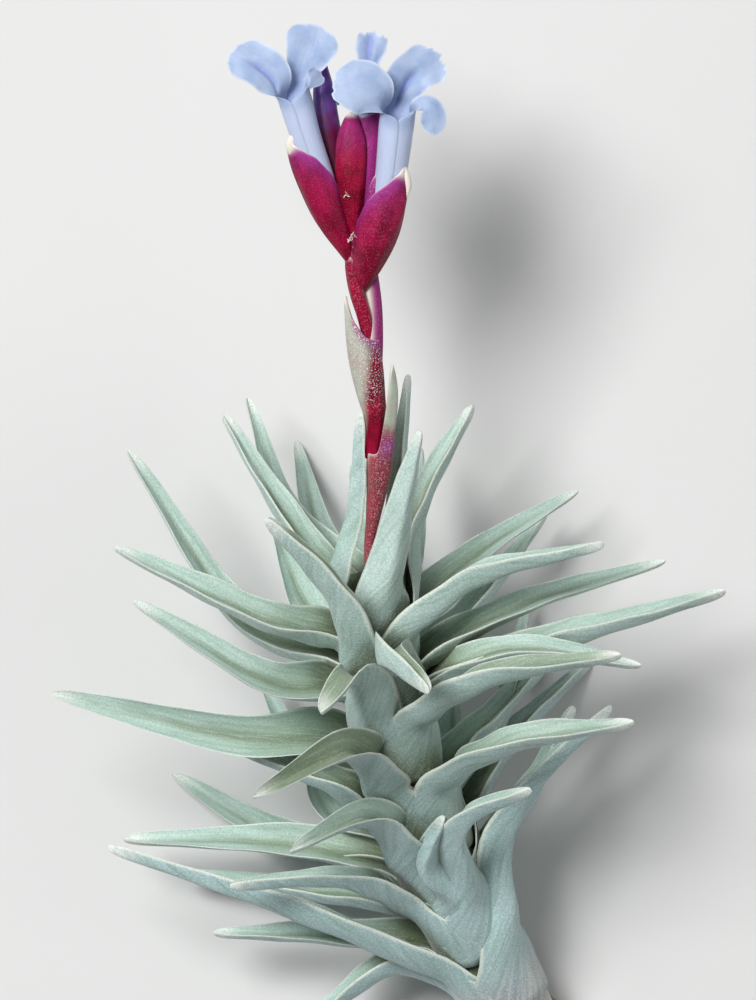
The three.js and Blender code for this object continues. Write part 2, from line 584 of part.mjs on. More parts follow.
function oldStem(grow = 0) {
  const core = stemPiece(OLD_STEM_END, OLD_STEM_TOP - GAP, OLD_STEM_RADII,
    { sides: STEM_SIDES, steps: 6, grow });
  const wraps = [];
  for (let index = 0; index < DRY_SHEATHS; index++) {
    const share = index / (DRY_SHEATHS - 1);
    const from = mix(DRY_SHEATHS_FROM, DRY_SHEATHS_TO, share);
    const angle = index * GOLDEN_ANGLE;
    const spine = [0, 0.5, 1].map((along) => {
      const { point, tangent } = stemAt(from + along * DRY_SHEATH_LENGTH);
      const side = new THREE.Vector3().crossVectors(tangent, up).normalize();
      const front = new THREE.Vector3().crossVectors(side, tangent);
      const distance = DRY_SHEATH_OUT + along * DRY_SHEATH_FLARE;
      return point.addScaledVector(front, distance * Math.cos(angle))
        .addScaledVector(side, distance * Math.sin(angle));
    });
    const { point: axis } = stemAt(from + DRY_SHEATH_LENGTH / 2);
    const inward = axis.sub(spine[1]);
    wraps.push(blade({
      spine: spine.map((point) => point.toArray()),
      width: DRY_SHEATH_WIDTH,
      face: inward.toArray(),
      outline: DRY_SHEATH_OUTLINE,
      cup: DRY_SHEATH_CUP,
      grow,
    }));
  }
  return joined([core, ...wraps]);
}

const floor = block(200, 200, FLOOR_SLAB, [0, 0, -FLOOR_SLAB / 2]);
const flowers = [LEFT_FLOWER, RIGHT_FLOWER, BACK_FLOWER];
const roomForFlowers = joined([...flowers.map((shape) => tubeOf(shape, GAP)), bud(GAP)]);
const greenStem = stemPiece(OLD_STEM_TOP, STEM_TOP, [STEM_RADIUS, STEM_TIP_RADIUS],
  { sides: STEM_SIDES, steps: STEM_STEPS });
const allLeaves = [...LEFT_LEAVES, ...TOP_LEAVES, ...RIGHT_LEAVES, ...NEAR_LEAVES,
  ...LOW_LEAVES, ...REST_LEAVES, ...backLeaves()];
const leafyStem = joined([greenStem, ...allLeaves.map(leaf)])
  .subtract(stalk(GAP))
  .subtract(oldStem(GAP))
  .subtract(floor);

function meshOf(name, solid, finish) {
  const { vertProperties, triVerts } = largest(solid).getMesh();
  const geometry = new THREE.BufferGeometry();
  geometry.setAttribute('position', new THREE.BufferAttribute(vertProperties, 3));
  geometry.setIndex(new THREE.BufferAttribute(triVerts, 1));
  geometry.computeVertexNormals();
  const mesh = new THREE.Mesh(geometry, new THREE.MeshStandardMaterial({ metalness: 0, ...finish }));
  mesh.name = name;
  return mesh;
}

const leafFinish = { color: 0xb9ccc0, roughness: 0.8 };
const dryFinish = { color: 0xa89e90, roughness: 0.9 };
const crimsonFinish = { color: 0xa01838, roughness: 0.45 };
const petalFinish = { color: 0xc8d2ee, roughness: 0.6 };
const violetFinish = { color: 0x54306e, roughness: 0.5 };

const plant = new THREE.Group();
plant.add(meshOf('leafy_stem', leafyStem, leafFinish));
plant.add(meshOf('old_stem', oldStem().subtract(floor), dryFinish));
plant.add(meshOf('flower_stalk', stalk().subtract(bracts(GAP)), crimsonFinish));
plant.add(meshOf('flower_bracts', bracts().subtract(roomForFlowers), crimsonFinish));
plant.add(meshOf('flower_left', flower(LEFT_FLOWER), petalFinish));
plant.add(meshOf('flower_right', flower(RIGHT_FLOWER), petalFinish));
plant.add(meshOf('flower_back', flower(BACK_FLOWER).subtract(bud(GAP)), petalFinish));
plant.add(meshOf('flower_bud', bud(), violetFinish));

export default plant;
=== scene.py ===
import math

import bmesh
import bpy
import numpy as np
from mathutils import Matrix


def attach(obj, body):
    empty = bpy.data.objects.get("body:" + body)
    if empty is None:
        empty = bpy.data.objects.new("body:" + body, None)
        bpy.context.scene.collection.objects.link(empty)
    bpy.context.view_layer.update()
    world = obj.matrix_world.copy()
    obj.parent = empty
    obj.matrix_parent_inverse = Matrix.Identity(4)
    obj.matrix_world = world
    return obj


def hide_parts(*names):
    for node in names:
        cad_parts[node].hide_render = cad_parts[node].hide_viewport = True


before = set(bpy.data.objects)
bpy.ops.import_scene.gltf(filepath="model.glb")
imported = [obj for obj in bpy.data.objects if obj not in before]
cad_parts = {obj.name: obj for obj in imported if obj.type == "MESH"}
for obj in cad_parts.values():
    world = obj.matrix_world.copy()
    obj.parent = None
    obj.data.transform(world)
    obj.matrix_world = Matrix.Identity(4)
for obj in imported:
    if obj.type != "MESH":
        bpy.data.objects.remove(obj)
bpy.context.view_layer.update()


# Camera: it looks straight down on the picked plant, as the photograph does, from far
# enough above it that near and far leaves keep almost the same scale.
scene = bpy.context.scene
camera_height = 1.5
camera_data = bpy.data.cameras.new("camera")
camera_data.sensor_width = 36
camera_data.lens = 421.6
camera = bpy.data.objects.new("camera", camera_data)
camera.location = (-0.00125, 0.00625, camera_height)
scene.collection.objects.link(camera)
scene.camera = camera
scene.view_settings.view_transform = "Standard"


# Floor: a plain pale sheet that the plant lies on. It isn't part of the plant.
edge = 3
floor_mesh = bpy.data.meshes.new("floor")
floor_mesh.from_pydata([(-edge, -edge, 0), (edge, -edge, 0), (edge, edge, 0), (-edge, edge, 0)],
                       [], [(0, 1, 2, 3)])
floor = bpy.data.objects.new("floor", floor_mesh)
scene.collection.objects.link(floor)
floor_finish = bpy.data.materials.new("pale_floor")
floor_finish.use_nodes = True
floor_shader = floor_finish.node_tree.nodes["Principled BSDF"]
floor_shader.inputs["Base Color"].default_value = (0.72, 0.72, 0.71, 1)
floor_shader.inputs["Roughness"].default_value = 0.9
floor_mesh.materials.append(floor_finish)


# Light: a large soft lamp up and to the left, a weaker one from the right and an even
# pale surround, as in a plain studio.
def soft_lamp(name, place, size, power):
    lamp_data = bpy.data.lights.new(name, "AREA")
    lamp_data.size = size
    lamp_data.energy = power
    lamp = bpy.data.objects.new(name, lamp_data)
    lamp.location = place
    lamp.rotation_euler = (-lamp.location).to_track_quat("-Z", "Y").to_euler()
    scene.collection.objects.link(lamp)


soft_lamp("key_lamp", (-0.42, 0.36, 1), 0.42, 13.6)
soft_lamp("fill_lamp", (0.75, -0.2, 0.6), 0.6, 1.6)
surround = bpy.data.worlds.new("surround")
surround.use_nodes = True
surround_light = surround.node_tree.nodes["Background"].inputs
surround_light["Color"].default_value = (0.95, 0.97, 1, 1)
surround_light["Strength"].default_value = 0.15
scene.world = surround


# Old stem: the dry brown end where the shoot was picked off. A woody core is wrapped in
# the papery, ragged bases of dead leaves, bleached grey and streaked along their length.
MM = 0.001
up = np.array((0.0, 0.0, 1.0))


def unit(ways):
    """The same directions, each of length 1."""
    return ways / np.linalg.norm(ways, axis=-1, keepdims=True)


def smooth_path(points, places):
    """Points at the given shares of a smooth curve's length, and its directions there."""
    steps_between = 60
    points = np.array(points, float)
    guide = np.vstack([2 * points[0] - points[1], points, 2 * points[-1] - points[-2]])
    fine = []
    for index in range(len(points) - 1):
        before, start, stop, after = guide[index:index + 4]
        first = np.linalg.norm(start - before) ** 0.5
        middle = np.linalg.norm(stop - start) ** 0.5
        last = np.linalg.norm(after - stop) ** 0.5
        leave = (start - before) / first - (stop - before) / (first + middle)
        leave = (leave + (stop - start) / middle) * middle
        arrive = (stop - start) / middle - (after - start) / (middle + last)
        arrive = (arrive + (after - stop) / last) * middle
        for share in np.linspace(0, 1, steps_between, endpoint=False):
            square = share * share
            cube = square * share
            fine.append(start * (2 * cube - 3 * square + 1) + leave * (cube - 2 * square + share)
                        + stop * (3 * square - 2 * cube) + arrive * (cube - square))
    fine.append(points[-1])
    fine = np.array(fine)
    lengths = np.concatenate([[0], np.cumsum(np.linalg.norm(np.diff(fine, axis=0), axis=1))])
    whole = lengths[-1]

    def at(shares):
        shares = np.asarray(shares, float) * whole
        return np.stack([np.interp(shares, lengths, fine[:, axis]) for axis in range(3)], axis=1)

    places = np.asarray(places, float)
    step = 0.004
    ahead = unit(at(np.clip(places + step, 0, 1)) - at(np.clip(places - step, 0, 1)))
    return at(places), ahead, whole


def blend_over(share, low, high):
    """Smooth rise from 0 at low to 1 at high."""
    share = np.clip((np.asarray(share, float) - low) / (high - low), 0, 1)
    return share * share * (3 - 2 * share)


class Skin:
    """Gathers rings of points into one mesh, with values that its colours are made from."""

    def __init__(self):
        self.points = []
        self.faces = []
        self.values = {}
        self.count = 0

    def add(self, rings, **values):
        """Adds rows of rings, an array of rows by columns by 3, and closes both ends.

        A value that isn't given for them is 0."""
        rows, columns = rings.shape[:2]
        first = self.count
        self.points.append(rings.reshape(-1, 3))
        for row in range(rows - 1):
            for column in range(columns):
                beside = (column + 1) % columns
                a = first + row * columns
                b = a + columns
                self.faces.append((a + column, a + beside, b + beside, b + column))
        half = columns // 2
        for end in (first, first + (rows - 1) * columns):
            self.faces.append((end, end + 1, end + columns - 1))
            self.faces.append((end + half - 1, end + half, end + half + 1))
            for column in range(1, half - 1):
                self.faces.append((end + column, end + column + 1, end + columns - column - 1,
                                   end + columns - column))
        self.count += rows * columns
        for name, value in values.items():
            value = np.broadcast_to(np.asarray(value, float), (rows, columns)).reshape(-1)
            self.values.setdefault(name, []).append((first, value))

    def make(self, name, material, replaced):
        mesh = bpy.data.meshes.new(name)
        above_floor = 0.02 * MM
        points = np.concatenate(self.points) * MM
        points[:, 2] = np.maximum(points[:, 2], above_floor)
        mesh.from_pydata(points.tolist(), [], self.faces)
        shell = bmesh.new()
        shell.from_mesh(mesh)
        bmesh.ops.recalc_face_normals(shell, faces=shell.faces)
        shell.to_mesh(mesh)
        shell.free()
        for value_name, parts in self.values.items():
            layer = mesh.attributes.new(value_name, "FLOAT", "POINT")
            whole = np.zeros(len(points), np.float32)
            for first, value in parts:
                whole[first:first + len(value)] = value
            layer.data.foreach_set("value", whole)
        mesh.polygons.foreach_set("use_smooth", [True] * len(mesh.polygons))
        mesh.materials.append(material)
        piece = bpy.data.objects.new(name, mesh)
        scene.collection.objects.link(piece)
        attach(piece, "root")
        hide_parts(replaced)


stem_line = [(19.6, -65.7, 3), (17, -60.3, 4.5), (10.4, -47.5, 11.8), (3.4, -30, 20.3),
             (0.8, -20, 24.4), (-1.6, -6.3, 29)]
stem_points, stem_ahead, _ = smooth_path(stem_line, np.linspace(0, 1, 400))
stem_bottom, stem_top = -54.5, -6.5
bottom_radius, top_radius = 4.9, 2.3


def stem_at(height):
    """The stem's axis where its Y is height: the point, the way up the stem and the radius."""
    point = np.array([np.interp(height, stem_points[:, 1], stem_points[:, axis])
                      for axis in range(3)])
    ahead = np.array([np.interp(height, stem_points[:, 1], stem_ahead[:, axis])
                      for axis in range(3)])
    share = np.clip((height - stem_bottom) / (stem_top - stem_bottom), 0, 1)
    radius = bottom_radius + (top_radius - bottom_radius) * share
    return point, unit(ahead), radius


def smooth_values(values, shares):
    """Reads a row of values, spread evenly, at the given shares of its length."""
    values = np.array(values, float)
    guide = np.concatenate([[2 * values[0] - values[1]], values, [2 * values[-1] - values[-2]]])
    place = np.asarray(shares, float) * (len(values) - 1)
    below = np.clip(np.floor(place), 0, len(values) - 2).astype(int)
    part = place - below
    first, start, stop, after = (guide[below + step] for step in range(4))
    return start + 0.5 * part * (stop - first + part * (2 * first - 5 * start + 4 * stop - after
                                 + part * (3 * (start - stop) + after - first)))


def frame_along(path, shares):
    """Centres, directions, right-hand sides and fronts of a path at the given shares."""
    centre, ahead, length = smooth_path(path, shares)
    side = unit(np.cross(ahead, up))
    return centre, ahead, side, np.cross(side, ahead), length


def add_rod(skin, path, radii, rows, sides, flat=1, shape=None, **values):
    """A round or oval rod. shape(shares, angles) gives a share by which each radius grows."""
    shares = np.linspace(0, 1, rows)
    centre, ahead, side, front, length = frame_along(path, shares)
    angles = np.linspace(0, 2 * math.pi, sides, endpoint=False)
    radius = np.repeat(smooth_values(radii, shares)[:, None], sides, axis=1)
    if shape:
        radius = radius * (1 + shape(shares[:, None], angles[None, :]))
    rings = (centre[:, None, :]
             + (radius * flat * np.cos(angles))[:, :, None] * front[:, None, :]
             + (radius * np.sin(angles))[:, :, None] * side[:, None, :])
    for name, value in values.items():
        if callable(value):
            values[name] = value(shares[:, None], angles[None, :])
    skin.add(rings, along=shares[:, None], run=shares[:, None] * length,
             girth=angles[None, :] * radius, **values)


def add_sheath(skin, path, radii, tip_at, mouth, thick=0.4, flat=1, rows=60, sides=72,
               flare=0, ragged=0, seed=0, waves=1, **values):
    """A clasping bract or leaf base: a funnel whose mouth rises to a tip on one side.

    mouth holds pairs: how far round from the tip, as a share of half a turn, and up to
    which share of the length the wall reaches there."""
    angles = np.linspace(0, 2 * math.pi, sides, endpoint=False) + tip_at
    from_tip = np.abs((angles - tip_at + math.pi) % (2 * math.pi) - math.pi) / math.pi
    turns, reaches = np.array(mouth, float).T
    reach = np.interp(from_tip, turns, reaches)
    for _ in range(3):
        reach = 0.5 * reach + 0.25 * (np.roll(reach, 1) + np.roll(reach, -1))
    reach = reach * (1 + ragged * (np.sin(7 * angles + seed) + np.sin(17 * angles + 2.3 * seed)
                                   + 0.8 * np.sin(31 * angles + 1.7 * seed)))
    reach = np.clip(reach, 0.03, 1)
    shares = np.sin(np.linspace(0, 1, rows) * math.pi / 2)
    place = shares[:, None] * reach[None, :]
    centre, ahead, side, front, length = frame_along(path, place.ravel())
    shape = (rows, sides, 3)
    centre, ahead, side, front = (part.reshape(shape) for part in (centre, ahead, side, front))
    to_rim = (reach[None, :] - place) * length
    radius = smooth_values(radii, place)
    radius = radius + flare * np.exp(-to_rim / 1.2)
    wave = 0.03 * np.sin(3 * angles + 5 * place + seed) + 0.02 * np.sin(7 * angles - 9 * place)
    radius = radius * (1 + waves * wave)
    walls = []
    least_radius = 0.05
    round_rim = 0.25
    rounding = np.sqrt(np.clip(to_rim / round_rim, 0, 1))
    for inward in (0, thick):
        wall = (radius - inward * (0.35 + 0.65 * rounding)
                - 0.3 * (thick - inward) * (1 - rounding))
        wall = np.maximum(wall, least_radius)
        floor_rise = inward * (1 - shares)[:, None, None] * ahead
        walls.append(centre + floor_rise + (wall * flat * np.cos(angles))[:, :, None] * front
                     + (wall * np.sin(angles))[:, :, None] * side)
    rings = np.concatenate([walls[0], walls[1][::-1]])
    values.update(near_tip=1 - from_tip[None, :], to_rim=to_rim, run=place * length,
                  girth=angles[None, :] * radius)
    for name, value in values.items():
        if callable(value):
            value = value(place, from_tip[None, :], to_rim)
        value = np.broadcast_to(np.asarray(value, float), place.shape)
        values[name] = np.concatenate([value, value[::-1]])
    skin.add(rings, **values)


class Paint:
    """Puts a material's nodes together. A name stands for the mesh's values of that name."""

    def __init__(self, name):
        self.material = bpy.data.materials.new(name)
        self.material.use_nodes = True
        self.tree = self.material.node_tree
        self.shader = self.tree.nodes["Principled BSDF"]

    def put(self, socket, value):
        if isinstance(value, str):
            node = self.tree.nodes.new("ShaderNodeAttribute")
            node.attribute_name = value
            value = node.outputs["Fac"]
        if isinstance(value, bpy.types.NodeSocket):
            self.tree.links.new(value, socket)
        elif isinstance(value, tuple) and len(value) == 3 and socket.type == "RGBA":
            socket.default_value = (*value, 1)
        else:
            socket.default_value = value

    def sum(self, action, *numbers):
        node = self.tree.nodes.new("ShaderNodeMath")
        node.operation = action
        for socket, number in zip(node.inputs, numbers):
            self.put(socket, number)
        return node.outputs[0]

    def times(self, first, second):
        return self.sum("MULTIPLY", first, second)

    def ramp(self, value, low, high, bottom=0, top=1):
        """A smooth change from bottom, where the value is low, to top, where it is high."""
        node = self.tree.nodes.new("ShaderNodeMapRange")
        node.interpolation_type = "SMOOTHSTEP"
        for name, number in (("Value", value), ("From Min", low), ("From Max", high),
                             ("To Min", bottom), ("To Max", top)):
            self.put(node.inputs[name], number)
        return node.outputs["Result"]

    def mix(self, share, first, second, way="MIX"):
        share_at, first_at, second_at, colour_at = 0, 6, 7, 2
        node = self.tree.nodes.new("ShaderNodeMix")
        node.data_type = "RGBA"
        node.blend_type = way
        self.put(node.inputs[share_at], share)
        self.put(node.inputs[first_at], first)
        self.put(node.inputs[second_at], second)
        return node.outputs[colour_at]

    def lay(self, colour, share, *span, way="MIX"):
        """Lays a colour over what the piece has so far, by a share or by a ramp over it."""
        if span:
            share = self.ramp(share, *span)
        self.colour = self.mix(share, self.colour, colour, way)

    def streaks(self, along, across, apart=0, detail=3):
        """Long streaks. Pieces of unlike tone have their own where apart isn't 0."""
        place = self.tree.nodes.new("ShaderNodeCombineXYZ")
        self.put(place.inputs[0], self.times("run", along))
        self.put(place.inputs[1], self.times("girth", across))
        if apart:
            self.put(place.inputs[2], self.times("tone", apart))
        return self.noise(1, detail, place.outputs[0])

    def noise(self, scale, detail=2, place=None):
        """An even grain through the whole piece, or one at the given place."""
        node = self.tree.nodes.new("ShaderNodeTexNoise")
        if place is None:
            place = self.tree.nodes.new("ShaderNodeTexCoord").outputs["Object"]
        self.put(node.inputs["Vector"], place)
        node.inputs["Scale"].default_value = scale
        node.inputs["Detail"].default_value = detail
        return node.outputs["Fac"]

    def finish(self, rough, shine, relief, strength, height):
        """Sets the colour, the roughness and the shine, and a relief as a fine bump."""
        self.put(self.shader.inputs["Base Color"], self.colour)
        self.shader.inputs["Roughness"].default_value = rough
        self.shader.inputs["Specular IOR Level"].default_value = shine
        node = self.tree.nodes.new("ShaderNodeBump")
        node.inputs["Strength"].default_value = strength
        node.inputs["Distance"].default_value = height
        self.put(node.inputs["Height"], relief)
        self.put(self.shader.inputs["Normal"], node.outputs["Normal"])


dry_skin = Skin()
golden_angle = 2.39996
core_line = [stem_at(height)[0] for height in np.linspace(-65.2, -55, 6)]
add_rod(dry_skin, core_line, [3.2, 3.9, 4.1, 4.2, 4.2], rows=40, sides=64,
        shape=lambda share, angle: 0.03 * np.sin(5 * angle + 6 * share) + 0.02 * np.sin(
            13 * angle - 4 * share) + 0.012 * np.sin(29 * angle + 9 * share), core=1)
dry_draws = np.random.default_rng(8)
for index in range(6):
    low = -64.3 + 0.6 * index
    top = low + 4.4 + 0.55 * index
    line = [stem_at(height)[0] for height in np.linspace(low, top, 6)]
    seed = dry_draws.uniform(0, 6)
    girth = 5.3 - 0.15 * index
    add_sheath(dry_skin, line, [girth - 0.5, girth - 0.1, girth, girth + 0.1, girth + 0.2],
               tip_at=index * golden_angle + 0.6,
               mouth=[(0, 1), (0.15, 0.9), (0.35, 0.72), (0.6, 0.55), (0.8, 0.46), (1, 0.42)],
               thick=0.15, flare=0.12, ragged=0.03, seed=seed, sides=120, rows=30, waves=0.3,
               tone=dry_draws.uniform(0, 1))

bleached, straw, faded_green = (0.5, 0.5, 0.58), (0.7, 0.66, 0.55), (0.56, 0.64, 0.57)
fibre_brown, stain, worn_rim = (0.27, 0.23, 0.25), (0.2, 0.13, 0.08), (0.7, 0.6, 0.44)
wood = (0.22, 0.15, 0.09)
papery = Paint("papery_old_stem")
fibres = papery.streaks(0.1, 1.5, 30, detail=2)
blotches = papery.noise(190, 3)
papery.colour = papery.mix("tone", bleached, straw)
papery.lay(faded_green, "near_tip", 0.35, 0.85, 0, 0.6)
papery.lay(fibre_brown, fibres, 0.42, 0.66, 0, 0.8)
papery.lay(stain, blotches, 0.6, 0.68, 0, 0.8)
papery.lay(worn_rim, "to_rim", 0, 0.6, 0.6, 0)
papery.lay(wood, "core")
papery.finish(rough=0.7, shine=0.5, relief=fibres, strength=0.4, height=0.0002)
dry_skin.make("old_stem_skin", papery.material, "old_stem")


# Leafy stem: the living shoot, one piece that grew with all its leaves. Each leaf clasps
# the stem with a broad base, turns outward and tapers to a blunt tip. It is channelled
# above and keeled below, and covered in fine silvery scales. The tables hold, for each
# leaf, where it leaves the stem, its half-way point, its tip and its width in
# millimetres, how far its channel turns upward, how tightly it folds, its lean, and the
# way that its side of the stem faces where this isn't the way to its tip.
left_leaves = [
    (-20, (-17.1, -10.1, 20), (-32.9, 12.6, 22), 6, 0.4),
    (-18, (-15.6, -8.8, 32), (-34.3, 0.4, 33), 6.6, 0.4),
    (-24, (-15, -16.6, 33), (-31.8, -6.4, 36), 6.6, 0.9),
    (-31, (-19, -23.5, 26), (-42.3, -18.1, 26), 7.2, 1),
    (-14, (-10.4, 0.2, 27), (-20.7, 17, 24), 6),
    (-12, (-12.2, 3.7, 19), (-17.9, 19.3, 12), 5.2),
    (-20, (-9.8, -8, 17), (-14.8, 4, 13), 7),
    (-33, (-10.8, -26, 11), (-16, -17, 6), 6),
    (-42, (-7, -34, 12), (-10.2, -27.2, 6), 7),
]
top_leaves = [
    (-11, (-4, 4.6, 31.4), (-3.2, 17.1, 35), 3.4, 0, 0, 0, (-1, 0, 0.1)),
    (-12, (0.8, 0.8, 36.2), (4, 15, 42), 6, 0, 0, 0, (0.2, 0, 1)),
    (-9, (1.3, 8, 28), (2.4, 22, 30), 3.4),
    (-15, (3.3, 3.4, 26.5), (10.6, 18.2, 27), 6.2),
]
right_leaves = [
    (-15, (11.4, -0.6, 19), (24.2, 7.5, 13), 5, 0.6),
    (-20, (11, -7.3, 15), (20.2, 4.8, 8), 5),
    (-22, (8.4, -12.6, 14), (12.6, -5, 6), 4.4),
    (-17, (10.2, -3.8, 34), (26.9, 0.9, 37), 5.6, 0, 0, 0, (0.7, 0, 0.7)),
    (-20, (15, -7.9, 26), (35, -1.4, 23), 4.8, 0.5),
    (-21, (19.6, -12, 27), (42.5, -5.2, 25), 6.4),
    (-23, (15.2, -12.6, 31), (31.8, -14.5, 30), 5, 0.4),
    (-28, (12, -16.2, 38), (29, -13, 42), 6.6, 0, 0, 0, (0.5, 0, 0.85)),
    (-34, (13.7, -21, 13), (21.4, -13.4, 6), 5.4),
    (-38, (14.8, -20.4, 10), (17.9, -6.6, 5), 4.6),
    (-36, (7.9, -26, 11), (8.4, -16.4, 5), 6),
    (-36, (13.4, -25, 35), (30.7, -21.4, 39), 6.8, 0, 0, 0, (0.6, 0, 0.8)),
    (-46, (17.6, -31.6, 15), (23.4, -19.8, 17), 5.4),
    (-57, (15.3, -34.2, 19), (28, -19.6, 26), 6.8, 0, 0, 0, (0.66, 0, 0.72)),
    (-50, (9.2, -34.4, 31), (17.8, -29.8, 38), 6, 0, 0.2, 0, (0.35, 0, 0.9)),
]
near_leaves = [
    (-22, (-6.2, -6.6, 39), (-15, 4, 46), 8, 0, 0.2, -0.75),
    (-22, (-0.6, -13.2, 41.5), (5.2, -17.4, 47.5), 7.4, 0, 0.5, -0.6),
    (-28, (-4.4, -15.8, 41), (-8.4, -20.2, 44), 9.8, 0, 0.1, -0.05, (-0.45, 0, 0.9)),
    (-36, (-4.8, -25.6, 37), (-16.8, -30.7, 44), 8.6, 0, 0.45, -0.9),
    (-45, (-2.4, -34.1, 31), (-12.2, -37.6, 38), 7.8, 0, 0.5, -0.8),
    (-48, (4.8, -40.2, 25), (7.1, -33.4, 31), 6.6, 0, 0.3, -0.3, (-0.1, 0, 1)),
    (-39, (-6.6, -30, 23), (-20, -24.6, 21), 7),
]
low_leaves = [
    (-46, (-12.4, -37.7, 13), (-33.6, -36.9, 11), 6.6, 0.4),
    (-58, (-12, -45.4, 21), (-35.4, -37.4, 21), 5.6, 0, 0, 0, (-0.84, 0, 0.52)),
    (-50, (-5.2, -41.6, 25), (-19.8, -42, 31), 5.8),
    (-50, (-9, -43.8, 8), (-26.4, -41.2, 6), 5),
    (-55, (-4, -49.4, 13), (-22.2, -48.7, 12), 5.6, 0.3),
    (-59, (1.2, -52.8, 11), (-15, -64.4, 8), 5),
]
rest_leaves = [
    (-15, (-8.3, 1, 13), (-11.7, 13.8, 0.1), 5.6),
    (-42, (-12.4, -37.4, 7), (-27.6, -28.9, 0.1), 6.6, 0.4),
    (-41, (17.1, -22.9, 7), (26.2, -14, 0.1), 5.8),
]


def far_leaves():
    """Leaves of the hidden side. They go round the stem at the golden angle."""
    places = 66
    half_angle = 0.42
    width = 5.4
    lowest = 2
    state = 11
    step, cycle = 16807, 2147483647
    leaves = []
    for index in range(places):
        height = -56 + 43 * index / (places - 1)
        angle = (index * golden_angle + math.pi) % (2 * math.pi) - math.pi
        state = state * step % cycle
        reach = 33 + 6 * (2 * state / cycle - 1)
        state = state * step % cycle
        lean = 0.8 + 0.15 * (2 * state / cycle - 1)
        if abs(angle) > half_angle:
            continue
        point, ahead, _ = stem_at(height)
        side = unit(np.cross(ahead, up))
        down = np.cross(ahead, side)
        outward = down * math.cos(angle) + side * math.sin(angle)
        tip = point + ahead * reach * math.cos(lean) + outward * reach * math.sin(lean)
        mid = (point + ahead * 0.42 * reach * math.cos(lean)
               + outward * 0.62 * reach * math.sin(lean))
        tip[2] = max(tip[2], lowest)
        mid[2] = max(mid[2], lowest + 1.5)
        leaves.append((height, mid, tip, width))
    return leaves


leaf_draws = np.random.default_rng(5)
leaf_skin = Skin()
leaf_places = np.concatenate([np.linspace(0, 0.93, 31), [0.95, 0.965, 0.978, 0.988, 0.995, 1]])
edge_to_edge = np.sin(np.linspace(-1.35, 1.35, 17)) / math.sin(1.35)
least_clasp, most_clasp, clasp_gap = 3.5, 9, 0.3
edge_thickness, rim_height, rim_at, rim_width = 0.3, 0.1, 0.93, 0.06
base_depth, tip_depth = 0.42, 0.28
blunt_from, blunt_over, taper = 0.94, 0.06, 0.83


